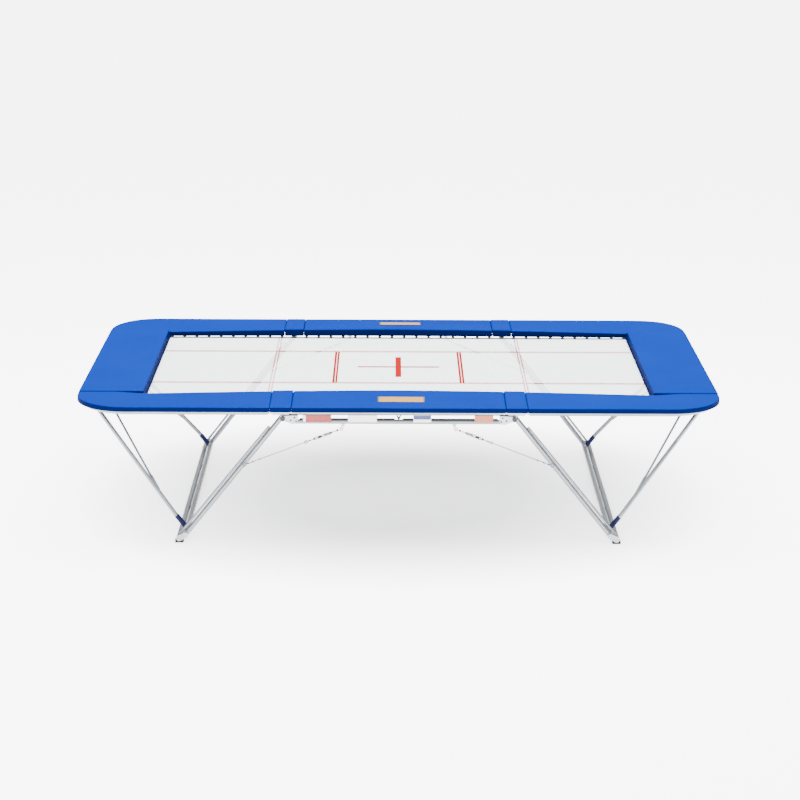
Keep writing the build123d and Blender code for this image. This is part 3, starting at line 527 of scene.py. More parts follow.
class Workpiece:
    """A bmesh on its way to becoming a piece."""

    def __init__(self, name: str) -> None:
        """Start an empty mesh."""
        self.name = name
        self.mesh = bmesh.new()

    def block(self, low: Sequence[float], high: Sequence[float], radius: float = 0.0,
              segments: int = 2) -> "Workpiece":
        """Add a box, with its edges rounded if a radius is given."""
        low, high = Vector(low), Vector(high)
        size = high - low
        place = Matrix.Translation((low + high) / 2) @ Matrix.Diagonal((*size, 1.0))
        made = bmesh.ops.create_cube(self.mesh, size=1.0, matrix=place)
        if radius:
            edges = list({edge for vert in made["verts"] for edge in vert.link_edges})
            bevel(self.mesh, edges, radius, segments)
        return self

    def bar(self, start: Vector, end: Vector, radius: float, sides: int,
            chamfer: float = 0.0) -> "Workpiece":
        """Add a round or many-sided bar between two points."""
        run = end - start
        turn = run.to_track_quat("Z", "Y").to_matrix().to_4x4()
        place = Matrix.Translation((start + end) / 2) @ turn
        made = bmesh.ops.create_cone(self.mesh, cap_ends=True, segments=sides, radius1=radius,
                                     radius2=radius, depth=run.length, matrix=place)
        if chamfer:
            rims = [edge for edge in {e for v in made["verts"] for e in v.link_edges}
                    if any(len(face.verts) > 4 for face in edge.link_faces)]
            bevel(self.mesh, rims, chamfer)
        return self

    def ring(self, centre: Vector, axis: Vector, radius: float, wire: float) -> "Workpiece":
        """Add a round ring of round wire."""
        axis = axis.normalized()
        spoke = axis.orthogonal().normalized()
        turn = Matrix((spoke, axis, spoke.cross(axis))).transposed().to_4x4()
        place = Matrix.Translation(centre + spoke * radius) @ turn
        made = bmesh.ops.create_circle(self.mesh, cap_ends=False, segments=8, radius=wire, matrix=place)
        bmesh.ops.spin(self.mesh, geom=connected(made["verts"]), cent=centre, axis=axis,
                       angle=2 * math.pi, steps=RING_STEPS, use_merge=True, use_normal_flip=False)
        return self

    def smooth_faces(self) -> None:
        """Make every face smooth shaded."""
        for face in self.mesh.faces:
            face.smooth = True

    def finish(self, finish: Finish, smooth: bool = True, recalculate: bool = True,
               rest: bool = False) -> bpy.types.Object:
        """Turn the bmesh into an object in the scene.

        Args:
            finish: the finish to put on it.
            smooth: whether faces are smooth shaded, apart from sharp edges.
            recalculate: whether to point all the faces outwards.
            rest: whether to store each point's place for a pattern that follows the cloth.

        Returns:
            The new object, at the origin.
        """
        if recalculate:
            bmesh.ops.recalc_face_normals(self.mesh, faces=self.mesh.faces[:])
        if smooth:
            self.smooth_faces()
        data = bpy.data.meshes.new(self.name)
        self.mesh.to_mesh(data)
        self.mesh.free()
        piece = bpy.data.objects.new(self.name, data)
        bpy.context.scene.collection.objects.link(piece)
        if rest:
            keep_rest(piece)
        finish.dress(piece)
        return piece


def keep_rest(piece: bpy.types.Object) -> None:
    """Store each point's place in an attribute that stays with the cloth."""
    attribute = piece.data.attributes.new(REST, "FLOAT_VECTOR", "POINT")
    places = [value for vert in piece.data.vertices for value in vert.co]
    attribute.data.foreach_set("vector", places)


def sharpen(piece: bpy.types.Object, degrees: float = 40.0) -> None:
    """Keep edges sharper than an angle crisp on a smooth piece."""
    for edge_index, angle in edge_angles(piece):
        if angle > math.radians(degrees):
            piece.data.edges[edge_index].use_edge_sharp = True


def edge_angles(piece: bpy.types.Object) -> list[tuple[int, float]]:
    """Each inner edge's index and the angle between its two faces."""
    copy = bmesh.new()
    copy.from_mesh(piece.data)
    angles = [(edge.index, edge.calc_face_angle(0.0)) for edge in copy.edges if len(edge.link_faces) == 2]
    copy.free()
    return angles


def subdivide(piece: bpy.types.Object, levels: int = 1) -> None:
    """Round a piece with a Subdivision Surface modifier."""
    modifier = piece.modifiers.new("round", "SUBSURF")
    modifier.levels = modifier.render_levels = levels


# ---------------------------------------------------------------------------------------------
# Pads
# ---------------------------------------------------------------------------------------------

@dataclass(frozen=True)
class PadRelief:
    """How the covers rise and dip above the level CAD pads."""

    bed_edge: float = 1.0706
    rail_inside: float = 1.44
    middle_rise: float = 0.021
    corner_dip: float = 0.014
    span: float = 2.1
    skirt_low: float = 1.1655
    top: float = 1.2113
    foot_share: float = 0.25
    ripple: float = 0.0011

    def edge_lift(self, x: float) -> float:
        """How far the edge beside the bed stands above level at a distance along the trampoline."""
        share = min(abs(x) / self.span, 1.0)
        lift = (self.middle_rise + self.corner_dip) * (1 - share ** 1.6) - self.corner_dip
        beyond = min(max((abs(x) - self.span) / 0.2, 0.0), 1.0)
        return lift * (1 - beyond)

    def lift(self, x: float, y: float, z: float) -> float:
        """How far a point of a side pad moves up from its level place."""
        ramp = min(max((self.rail_inside - abs(y)) / (self.rail_inside - self.bed_edge), 0.0), 1.0)
        ramp = ramp * ramp * (3 - 2 * ramp)
        height = min(max((z - self.skirt_low) / (self.top - self.skirt_low), 0.0), 1.0)
        share = self.foot_share + (1 - self.foot_share) * height
        return self.edge_lift(x) * ramp * share + self.waves(x, y) * height

    def waves(self, x: float, y: float) -> float:
        """Slow unevenness of foam under the cover."""
        broad = noise.noise(Vector((x * 2.1, y * 2.7, 3.1)))
        small = noise.noise(Vector((x * 7.0, y * 9.0, 8.2)))
        return self.ripple * (broad + 0.35 * small)


@dataclass(frozen=True)
class PadPlan:
    """One pad's outline and build."""

    name: str
    outline: tuple[tuple[float, float], ...]
    top: float
    bottom: float = 1.1853
    rounded: Optional[int] = None
    radius: float = PAD_CORNER_RADIUS
    wall: float = 0.013
    flap: float = 0.016
    skirt: float = 0.026
    skirt_slant: float = 0.0
    rim: float = 0.009
    tight: float = 0.0035
    crown: float = 0.004
    grid: float = 0.07
    stand: float = 0.0

    @property
    def middle(self) -> Vector:
        """Middle of the outline's box."""
        xs, ys = zip(*self.outline)
        return Vector(((min(xs) + max(xs)) / 2, (min(ys) + max(ys)) / 2))

    @property
    def half(self) -> Vector:
        """Half of the outline's box."""
        xs, ys = zip(*self.outline)
        return Vector(((max(xs) - min(xs)) / 2, (max(ys) - min(ys)) / 2))


class Pad:
    """A foam pad in a sewn cover, with a flap outside the rail and a skirt beside the bed."""

    def __init__(self, plan: PadPlan, relief: PadRelief, outer: Callable[[Vector], bool],
                 inner: Callable[[Vector], bool], cut: Optional[tuple[float, int]] = None) -> None:
        """Take the pad's plan and the tests that say which of its border is flap or skirt."""
        self.plan, self.relief, self.outer, self.inner, self.cut = plan, relief, outer, inner, cut

    def mark_sides(self, mesh: bmesh.types.BMesh) -> None:
        """Give the walls, flaps and underside the second finish, a darker copy of the cover that paints shade
        on them.
        """
        mesh.normal_update()
        for face in mesh.faces:
            low = face.calc_center_median().z < self.plan.top - self.plan.rim * 0.55
            face.material_index = 1 if low and face.normal.z < 0.75 else 0

    def slab(self) -> bmesh.types.BMesh:
        """The square-edged foam shape with its flaps, before rounding."""
        plan = self.plan
        mesh = bmesh.new()
        corners = [mesh.verts.new((x, y, plan.bottom)) for x, y in plan.outline]
        mesh.faces.new(corners)
        mesh.normal_update()
        if plan.rounded is not None:
            bmesh.ops.bevel(mesh, geom=[corners[plan.rounded]], offset=plan.radius, segments=14,
                            profile=0.5, affect="VERTICES", material=-1)
        bmesh.ops.inset_individual(mesh, faces=mesh.faces[:], thickness=plan.wall, use_even_offset=True)
        raised = bmesh.ops.extrude_face_region(mesh, geom=mesh.faces[:])
        bmesh.ops.translate(mesh, vec=(0, 0, plan.top - plan.bottom),
                            verts=[item for item in raised["geom"] if isinstance(item, bmesh.types.BMVert)])
        bmesh.ops.recalc_face_normals(mesh, faces=mesh.faces[:])
        hangings = ((self.outer, plan.flap, 0.0), (self.inner, plan.skirt, plan.skirt_slant))
        for test, depth, slant in hangings:
            strip = [face for face in mesh.faces if face.normal.z < -0.9
                     and face.calc_center_median().z < plan.bottom + SAME_PLACE
                     and test(face.calc_center_median())]
            if not strip:
                continue
            hung = bmesh.ops.extrude_face_region(mesh, geom=strip)
            verts = [item for item in hung["geom"] if isinstance(item, bmesh.types.BMVert)]
            towards = -math.copysign(slant, plan.middle.x) if slant else 0.0
            bmesh.ops.translate(mesh, vec=(towards, 0, -depth), verts=verts)
            bmesh.ops.delete(mesh, geom=strip, context="FACES")
        return mesh

    def round_edges(self, mesh: bmesh.types.BMesh) -> None:
        """Round the top rim widely and the rest tightly."""
        plan = self.plan
        rim = [edge for edge in sharp_edges(mesh)
               if min(vert.co.z for vert in edge.verts) > plan.top - SAME_PLACE]
        bevel(mesh, rim, plan.rim, segments=3)
        bevel(mesh, sharp_edges(mesh), plan.tight)

    def slice(self, mesh: bmesh.types.BMesh) -> None:
        """Cut the mesh on an even grid, so that it can bend and swell."""
        plan = self.plan
        for axis in (0, 1):
            half = plan.half[axis] - plan.rim * 2
            count = max(2, round(2 * half / plan.grid))
            for step in range(count + 1):
                point, normal = Vector((0, 0, 0)), Vector((0, 0, 0))
                point[axis] = plan.middle[axis] - half + 2 * half * step / count
                normal[axis] = 1
                bisect(mesh, point, normal)

    def surface_lift(self, x: float, y: float, z: float) -> float:
        """How far the cover moves up at a point: relief, crown and the pad's own stand."""
        plan = self.plan
        across = (Vector((x, y)) - plan.middle)
        u, v = abs(across.x) / plan.half.x, abs(across.y) / plan.half.y
        height = min(max((z - plan.bottom) / (plan.top - plan.bottom), 0.0), 1.0)
        crown = plan.crown * (1 - min(u, 1.0) ** 6) * (1 - min(v, 1.0) ** 4)
        side_pad = abs(plan.middle.y) > 1e-6
        lift = self.relief.lift(x, y, z) if side_pad else self.relief.waves(x, y) * height
        inwards = min(max((1.5 - abs(y)) / 0.4, 0.0), 1.0)
        return lift + crown * height + plan.stand * height * (0.35 + 0.65 * inwards)

    def build(self, finish: Finish, shaded_side_finish: Finish) -> bpy.types.Object:
        """Make the pad.

        Args:
            finish: the top's finish.
            shaded_side_finish: the finish of the walls, flaps and underside, a darker copy of the cover that
                paints shade on them.

        Returns:
            The pad as an object with a Subdivision Surface modifier.
        """
        mesh = self.slab()
        self.round_edges(mesh)
        self.mark_sides(mesh)
        self.slice(mesh)
        for vert in mesh.verts:
            x, y, z = vert.co
            vert.co.z += self.surface_lift(x, y, z)
        if self.cut is not None:
            self.split(mesh, *self.cut)
        work = Workpiece(self.plan.name)
        work.mesh.free()
        work.mesh = mesh
        piece = work.finish(finish, rest=True)
        piece.data.materials.append(shaded_side_finish.material())
        self.hold_corners(piece)
        subdivide(piece)
        return piece

    @staticmethod
    def split(mesh: bmesh.types.BMesh, at: float, keep: int) -> None:
        """Keep the part of the pad on one side of a plane across the trampoline, and close it."""
        cut = bisect(mesh, (at, 0, 0), (-keep, 0, 0), clear_outer=True)
        edges = [item for item in cut["geom_cut"] if isinstance(item, bmesh.types.BMEdge)]
        bmesh.ops.holes_fill(mesh, edges=edges, sides=0)

    def hold_corners(self, piece: bpy.types.Object) -> None:
        """Hold the upright corner edges and the closed cut against the rounding."""
        crease = piece.data.attributes.new("crease_edge", "FLOAT", "EDGE")
        at = self.cut[0] if self.cut is not None else math.inf
        for edge in piece.data.edges:
            first, second = (piece.data.vertices[i].co for i in edge.vertices)
            on_cut = max(abs(first.x - at), abs(second.x - at)) < 1e-4
            upright = (first - second).to_2d().length < 1e-5
            edge.use_edge_sharp = on_cut
            crease.data[edge.index].value = 1.0 if on_cut else 0.8 if upright else 0.0


class PadSet:
    """All the pads, their badges and how they ride."""

    def __init__(self, *finishes: Finish) -> None:
        """Take the finishes of the tops and of the sides, the second a darker copy that paints shade, and read
        the pads' extents from the frame.
        """
        self.finishes = finishes
        self.relief = PadRelief()
        centre_low, centre_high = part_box("near_centre_pad")
        self.centre_edge = centre_high.x
        self.outer_y, self.inner_y, self.top = -centre_low.y, -centre_high.y, centre_high.z
        end_low, end_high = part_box("right_end_pad")
        self.end_inner, self.end_outer = end_low.x, end_high.x
        self.end_half, self.end_top = end_high.y, end_high.z
        hinge_low, hinge_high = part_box("right_hinge_pads")
        self.hinge_inner, self.hinge_outer = hinge_low.x, hinge_high.x
        self.corner_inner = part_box("right_corner_pads")[0].x

    def is_outer(self, centre: Vector) -> bool:
        """Whether a border face lies outside the rails."""
        outside_y = abs(centre.y) > self.outer_y - 0.02
        outside_x = abs(centre.x) > self.end_outer - 0.02
        bend = Vector((abs(centre.x) - (self.end_outer - PAD_CORNER_RADIUS),
                       abs(centre.y) - (self.outer_y - PAD_CORNER_RADIUS)))
        return outside_y or outside_x or (min(bend) > 0 and bend.length > PAD_CORNER_RADIUS - 0.03)

    def is_side_inner(self, centre: Vector) -> bool:
        """Whether a border face lies beside the bed's long side."""
        return abs(centre.y) < self.inner_y + 0.02 and abs(centre.x) < self.end_inner + 0.25

    def is_end_inner(self, centre: Vector) -> bool:
        """Whether a border face lies over the bed's end."""
        return abs(centre.x) < self.end_inner + 0.02

    def strip(self, name: str, x_span: tuple[float, float], row: Row, **changes: float) -> Pad:
        """A straight side pad."""
        inner, outer = row.value * self.inner_y, row.value * self.outer_y
        outline = ((x_span[0], inner), (x_span[1], inner), (x_span[1], outer), (x_span[0], outer))
        plan = PadPlan(name, outline, self.top, **changes)
        return Pad(plan, self.relief, self.is_outer, self.is_side_inner)

    def build_centre(self, row: Row) -> None:
        """The long pad beside the middle of the bed."""
        node = f"{row.word}_centre_pad"
        pad = self.strip(f"{row.word}_centre_cover", (-self.centre_edge, self.centre_edge), row)
        piece = pad.build(*self.finishes)
        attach(piece, "centre_frame")
        self.declare(piece, node)
        self.badge(row, pad)

    def build_hinge(self, side: Side, row: Row) -> None:
        """The short pad over a hinge, in two halves that meet over the link's middle."""
        x_inner, x_outer = side.value * self.hinge_inner, side.value * self.hinge_outer
        for half, body, start, keep in (("inner", "centre_frame", x_inner, -side.value),
                                        ("outer", f"{side.word}_end", x_outer, side.value)):
            pad = self.strip(f"{side.word}_{row.word}_hinge_cover_{half}", (x_inner, x_outer), row,
                             grid=0.022, stand=0.006, crown=0.003)
            pad.cut = (side.value * HINGE_MIDDLE, keep)
            piece = pad.build(*self.finishes)
            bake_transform(piece)
            self.declare(piece, f"{side.word}_hinge_pads")
            self.build_seam_tab(side, row, start, body)

    def build_corner(self, side: Side, row: Row) -> None:
        """The side pad of an end section, rounded at the frame's corner."""
        inner_x, outer_x = side.value * self.corner_inner, side.value * self.end_outer
        inner_y, outer_y = row.value * self.inner_y, row.value * self.outer_y
        outline = ((inner_x, inner_y), (outer_x, inner_y), (outer_x, outer_y), (inner_x, outer_y))
        plan = PadPlan(f"{side.word}_{row.word}_corner_cover", outline, self.top, rounded=2)
        piece = Pad(plan, self.relief, self.is_outer, self.is_side_inner).build(*self.finishes)
        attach(piece, f"{side.word}_end")
        self.declare(piece, f"{side.word}_corner_pads")

    def build_end(self, side: Side) -> None:
        """The pad across an end, whose edge slopes down on to the bed."""
        inner, outer = side.value * self.end_inner, side.value * self.end_outer
        half = self.end_half
        outline = ((inner, -half), (outer, -half), (outer, half), (inner, half))
        plan = PadPlan(f"{side.word}_end_cover", outline, self.end_top, skirt_slant=0.02, crown=0.005)
        piece = Pad(plan, self.relief, self.is_outer, self.is_end_inner).build(*self.finishes)
        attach(piece, f"{side.word}_end")
        self.declare(piece, f"{side.word}_end_pad")

    def build_seam_tab(self, side: Side, row: Row, end: float, body: str) -> None:
        """Strips inside the flap and skirt that close the seam at a hinge pad's end."""
        work = Workpiece(f"{side.word}_{row.word}_seam_tab_{'in' if body == 'centre_frame' else 'out'}")
        lay, thick, reach, bottom, top, edge = 0.0145, 0.002, 0.02, 1.1705, 1.1845, 0.0006
        for y in (self.inner_y + lay, self.outer_y - lay - thick):
            low, high = sorted((row.value * y, row.value * (y + thick)))
            work.block((end - reach, low, bottom), (end + reach, high, top), edge, 1)
        # The seam tabs wear the darker side cover, painted shade.
        piece = work.finish(self.finishes[1], rest=True)
        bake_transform(piece)

    @staticmethod
    def declare(piece: bpy.types.Object, node: str) -> None:
        """Hide the CAD node that a pad stands for, and log the pad's name and point count."""
        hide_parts(node)
        LOG.info("pad %s: %d points", piece.name, len(piece.data.vertices))

    def badge(self, row: Row, pad: Pad) -> None:
        """A blank badge that lies on a centre pad."""
        low, high = (-0.1725, 1.255), (0.2125, 1.395)
        work = Workpiece(f"{row.word}_badge")
        place = Matrix.Translation(((low[0] + high[0]) / 2, row.value * (low[1] + high[1]) / 2, self.top))
        place = place @ Matrix.Diagonal((high[0] - low[0], high[1] - low[1], 1, 1))
        bmesh.ops.create_grid(work.mesh, x_segments=14, y_segments=6, size=0.5, matrix=place)
        for vert in work.mesh.verts:
            vert.co.z += pad.surface_lift(*vert.co) + 0.0012
        bmesh.ops.solidify(work.mesh, geom=work.mesh.faces[:], thickness=-0.0016)
        finish = PrintedPlate(f"badge_{row.word}", srgb(168, 118, 0), srgb(2, 3, 8), srgb(168, 118, 0),
                              low, high, 0.012, flat_plate=True)
        piece = work.finish(finish)
        sharpen(piece)
        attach(piece, "centre_frame")

    def build(self) -> None:
        """Make every pad."""
        for row in Row:
            self.build_centre(row)
            for side in Side:
                self.build_hinge(side, row)
                self.build_corner(side, row)
        for side in Side:
            self.build_end(side)


# ---------------------------------------------------------------------------------------------
# Bed
# ---------------------------------------------------------------------------------------------

@dataclass(frozen=True)
class BedPanel:
    """One panel of the bed: its span along the trampoline, the names of the bodies beside it, a span near the
    hinge and the CAD node it stands for.
    """

    name: str
    start: float
    end: float
    body: str
    link: str
    bend_start: float
    bend_end: float
    node: str


class Bed:
    """The woven bed with its hem and spring loops."""

    bend_reach = 0.2
    hem_width = 0.04
    hem_thickness = 0.005
    loop_width = 0.025
    loop_out = 0.052
    loop_height = 0.019
    loop_radius = 0.003
    side_pitch = 0.112
    end_pitch = 0.102

    def __init__(self, weave: Finish, webbing: Finish) -> None:
        """Read the bed's extent from the frame."""
        self.weave, self.webbing = weave, webbing
        low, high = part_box("right_bed")
        self.half_length, self.half_width = high.x, high.y
        self.level = (low.z + high.z) / 2
        self.centre_count = round(2 * HINGE_MIDDLE / self.side_pitch)
        self.end_count = math.floor((self.half_length - 0.05 - HINGE_MIDDLE) / self.side_pitch)
        self.end_row_count = math.floor((self.half_width - 0.05) / self.end_pitch)

    def panels(self) -> list[BedPanel]:
        """The four panels, which meet in the middle and over the hinges."""
        made = []
        for side in Side:
            s, word = side.value, side.word
            middle = s * HINGE_MIDDLE
            made.append(BedPanel(f"{word}_centre_bed", 0.0, middle, "centre_frame", f"{word}_link",
                                 middle - s * self.bend_reach, middle, "centre_bed"))
            made.append(BedPanel(f"{word}_end_bed", middle, s * self.half_length, f"{word}_end",
                                 f"{word}_link", middle + s * self.bend_reach, middle, f"{word}_bed"))
        return made

    def loop_places(self, panel: BedPanel) -> list[float]:
        """Where loops stand along a panel's long edges."""
        step = 2 * HINGE_MIDDLE / self.centre_count
        places = [-HINGE_MIDDLE + step * i for i in range(self.centre_count + 1)]
        places += [side.value * (HINGE_MIDDLE + self.side_pitch * (i + 1))
                   for side in Side for i in range(self.end_count)]
        low, high = sorted((panel.start, panel.end))
        tiny = 1e-6

        def on_middle_seam(x: float) -> bool:
            """Whether a loop stands where the two centre panels meet."""
            return x in (low, high) and panel.node == "centre_bed" and abs(x) < tiny
        return [x for x in places if low - tiny <= x <= high + tiny and not on_middle_seam(x)]

    def cloth(self, panel: BedPanel) -> bpy.types.Object:
        """The woven cloth of a panel."""
        work = Workpiece(f"{panel.name}_cloth")
        length = abs(panel.end - panel.start)
        place = Matrix.Translation(((panel.start + panel.end) / 2, 0, self.level))
        place = place @ Matrix.Diagonal((length, 2 * self.half_width, 1, 1))
        bmesh.ops.create_grid(work.mesh, x_segments=max(20, round(length / 0.03)), y_segments=24, size=0.5,
                              matrix=place)
        piece = work.finish(self.weave, rest=True)
        return piece

    def hem(self, panel: BedPanel) -> bpy.types.Object:
        """The webbing round a panel's outer edges, and the loops that hold its springs."""
        work = Workpiece(f"{panel.name}_hem")
        low, high = sorted((panel.start, panel.end))
        outer = self.half_width

        def band(x_span: Sequence[float], y_span: Sequence[float], depth: float, radius: float) -> None:
            """Add a block of webbing, level with the bed."""
            (left, right), (near, far) = sorted(x_span), sorted(y_span)
            low_z, high_z = self.level - depth / 2, self.level + depth / 2
            work.block((left, near, low_z), (right, far, high_z), radius, 1)

        for row in Row:
            r = row.value
            band((low, high), (r * outer, r * (outer - self.hem_width)), self.hem_thickness, 0.0)
            for x in self.loop_places(panel):
                band((max(low, x - self.loop_width / 2), min(high, x + self.loop_width / 2)),
                     (r * (outer - self.hem_width / 2), r * (outer + self.loop_out)),
                     self.loop_height, self.loop_radius)
        if panel.node != "centre_bed":
            edge = math.copysign(self.half_length, panel.end)
            out = math.copysign(1.0, edge)
            band((edge, edge - out * self.hem_width), (-outer, outer), self.hem_thickness, 0.0)
            for i in range(-self.end_row_count, self.end_row_count + 1):
                y = i * self.end_pitch
                band((edge - out * self.hem_width / 2, edge + out * self.loop_out),
                     (y - self.loop_width / 2, y + self.loop_width / 2), self.loop_height, self.loop_radius)
        self.cut_for_bending(work, low, high)
        piece = work.finish(self.webbing, smooth=False, rest=True)
        return piece

    @staticmethod
    def cut_for_bending(work: Workpiece, low: float, high: float) -> None:
        """Cut a hem across its length at even steps."""
        count = max(10, round((high - low) / 0.035))
        for step in range(1, count):
            x = low + (high - low) * step / count
            bisect(work.mesh, (x, 0, 0), (1, 0, 0))

    def build(self) -> None:
        for panel in self.panels():
            cloth, hem = self.cloth(panel), self.hem(panel)
            for piece in (cloth, hem):
                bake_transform(piece)
            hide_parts(panel.node)
            LOG.info("bed panel %s", panel.name)


# ---------------------------------------------------------------------------------------------
# Stay cables
# ---------------------------------------------------------------------------------------------

class StayCable:
    """A wire rope with shackle, ferrules, turnbuckle and hook, from a leg's lug to the lower rail."""

    strands = 6
    strand_radius = 0.0011
    rope_radius = 0.0021
    lay = 0.036
    rope_span = (0.05, 0.655)
    leg_top = (0.934, 1.425, 1.115)
    leg_foot = (1.752, 1.335, 0.068)
    lug_way = 0.53
    lug_out = 0.0623
    anchor_place = (0.45, 1.497, 1.0267)
    # Rings lie across the trampoline, or flat to it: share of the way, radius, wire radius.
    cross_rings = ((0.012, 0.013, 0.0032), (0.63, 0.012, 0.0028), (0.985, 0.012, 0.0034))
    flat_ring = (0.048, 0.011, 0.0028)
    # Ferrules: shares of the way. Bars: first and last share, radius, sides, chamfer.
    ferrules = (0.085, 0.15, 0.655)
    bars = ((0.66, 0.715, 0.003, 8, 0.0), (0.705, 0.725, 0.0085, 6, 0.001), (0.87, 0.89, 0.0085, 6, 0.001),
            (0.75, 0.79, 0.0045, 8, 0.0), (0.81, 0.93, 0.0035, 8, 0.0))
    # The turnbuckle's two side bars: first and last share, radius, and distance from the middle.
    side_bars = (0.72, 0.875, 0.0035, 0.008)
    tag_span = (0.935, 0.955)

    def __init__(self, side: Side, row: Row, steel: Finish, tag: Finish) -> None:
        """Work out the two ends from the leg's line and the anchor's place."""
        self.side, self.row, self.steel, self.tag = side, row, steel, tag
        mirror = Vector((side.value, row.value, 1))
        top, foot = Vector(self.leg_top) * mirror, Vector(self.leg_foot) * mirror
        out = Vector((0, row.value * self.lug_out, 0))
        self.lug = top + (foot - top).normalized() * self.lug_way + out
        self.anchor = Vector(self.anchor_place) * mirror
        self.run = (self.anchor - self.lug).normalized()
        self.length = (self.anchor - self.lug).length
        self.flat = self.run.cross(Vector((0, 1, 0))).normalized()

    def at(self, share: float) -> Vector:
        """The point at a share of the way from the leg to the rail."""
        return self.lug + self.run * (share * self.length)

    def rope(self, start: float, end: float) -> bpy.types.Object:
        """The twisted strands between two shares of the way."""
        work = Workpiece(f"{self.side.word}_{self.row.word}_rope")
        first, last = self.at(start), self.at(end)
        length = (last - first).length
        steps = round(length / self.lay * 10)
        side_way = self.run.orthogonal().normalized()
        turn = self.run.to_track_quat("Z", "Y").to_matrix().to_4x4()
        for strand in range(self.strands):
            spoke = Matrix.Rotation(2 * math.pi * strand / self.strands, 3, self.run) @ side_way
            place = Matrix.Translation(first + spoke * self.rope_radius) @ turn
            made = bmesh.ops.create_circle(work.mesh, cap_ends=True, segments=5, radius=self.strand_radius,
                                           matrix=place)
            bmesh.ops.spin(work.mesh, geom=connected(made["verts"]), cent=first, axis=self.run,
                           dvec=self.run * (length / steps), angle=2 * math.pi * length / self.lay,
                           steps=steps, use_merge=False)
        return work.finish(self.steel, rest=True)

    def fittings(self) -> bpy.types.Object:
        """Everything metal on the rope, in one piece."""
        work = Workpiece(f"{self.side.word}_{self.row.word}_cable_fittings")
        for share, radius, wire in self.cross_rings:
            work.ring(self.at(share), Vector((0, 1, 0)), radius, wire)
        share, radius, wire = self.flat_ring
        work.ring(self.at(share), self.flat, radius, wire)
        for share in self.ferrules:
            work.bar(self.at(share), self.at(share) + self.run * 0.02, 0.0055, 10, chamfer=0.0012)
        for first, last, radius, sides, chamfer in self.bars:
            work.bar(self.at(first), self.at(last), radius, sides, chamfer)
        first, last, radius, apart = self.side_bars
        for way in (-apart, apart):
            work.bar(self.at(first) + self.flat * way, self.at(last) + self.flat * way, radius, 8)
        return work.finish(self.steel, rest=True)

    def tag_ring(self) -> bpy.types.Object:
        """The coloured plastic collar beside the hook."""
        work = Workpiece(f"{self.side.word}_{self.row.word}_cable_tag")
        work.bar(self.at(self.tag_span[0]), self.at(self.tag_span[1]), 0.009, 14, chamfer=0.002)
        return work.finish(self.tag, rest=True)

    def build(self) -> None:
        """Make the cable's rope, fittings and tag between the leg and the centre frame, and hide the CAD
        cables.
        """
        for piece in (self.rope(*self.rope_span), self.fittings(), self.tag_ring()):
            sharpen(piece)
            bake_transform(piece)
            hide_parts(f"{self.side.word}_stay_cables")
        LOG.info("stay cable %s %s: %.3f m", self.side.word, self.row.word, self.length)


# ---------------------------------------------------------------------------------------------
# Frame trims
# ---------------------------------------------------------------------------------------------

class FrameTrims:
    """Label plates, black strips of painted shade and dark reflection on the lower rails, and plate bolts on
    the centre frame.
    """

    bottom = 1.0827
    plate_height = 0.06
    face = 1.5153
    thickness = 0.003
    border = 0.003
    bolt_places = ((0.838, 1.123), (0.868, 1.1), (0.826, 1.092))
    bolt_start = 1.527
    bolt_head = 0.006
    guard_width = 0.016
    guard_height = 0.009

    def __init__(self, guard: Finish, bolts: Finish) -> None:
        """Take the finishes of the painted shade strips and the bolts."""
        self.guard, self.bolts = guard, bolts
        low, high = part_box("near_lower_rail")
        self.rail_y, self.rail_top, self.rail_radius = (low.y + high.y) / 2, high.z, (high.z - low.z) / 2

    def labels(self) -> None:
        """The four blank plates on the near side."""
        pale, grey = srgb(238, 238, 236), srgb(186, 188, 190)
        plates = (("red_plate", -0.772, -0.544, srgb(140, 2, 6), srgb(110, 2, 6), {"split_x": -0.749}),
                  ("white_plate", -0.408, -0.176, pale, grey, {}),
                  ("blue_plate", 0.118, 0.262, srgb(8, 40, 104), grey, {"split_z": 1.108}),
                  ("tan_plate", 0.612, 0.762, srgb(176, 94, 56), srgb(150, 84, 54), {}))
        top = self.bottom + self.plate_height
        for name, low, high, field, border, split in plates:
            work = Workpiece(name)
            work.block((low, -self.face - self.thickness, self.bottom), (high, -self.face, top), 0.0009)
            finish = PrintedPlate(name, field, border, pale, (low, self.bottom), (high, top),
                                  self.border, **split)
            piece = work.finish(finish, smooth=False)
            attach(piece, "centre_frame")
            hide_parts("label_plates")

    def guards(self) -> None:
        """Black strips along the top of both lower rails, clear of the clip: painted shade and dark reflection
        under the pads.
        """
        # Each strip is a dark piece put where the rail's top shows only shade and dark reflection.
        for row in Row:
            work = Workpiece(f"{row.word}_rail_guard")
            y = row.value * abs(self.rail_y)
            for start, end in ((-0.8, -0.03), (0.03, 0.8)):
                work.block((start, y - self.guard_width / 2, self.rail_top - 0.002),
                           (end, y + self.guard_width / 2, self.rail_top + self.guard_height), 0.003, 3)
            piece = work.finish(self.guard)
            sharpen(piece, 60)
            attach(piece, "centre_frame")

    def plate_bolts(self) -> None:
        """Hexagon bolts through the leg pivot plates."""
        for side in Side:
            work = Workpiece(f"{side.word}_plate_bolts")
            for row in Row:
                for x, z in self.bolt_places:
                    start = Vector((side.value * x, row.value * self.bolt_start, z))
                    end = start + Vector((0, row.value * self.bolt_head, 0))
                    work.bar(start, end, 0.0075, 6, chamfer=0.0008)
            piece = work.finish(self.bolts, smooth=False)
            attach(piece, "centre_frame")

    def build(self) -> None:
        """Make every trim."""
        self.labels()
        self.guards()
        self.plate_bolts()
        LOG.info("frame trims made")


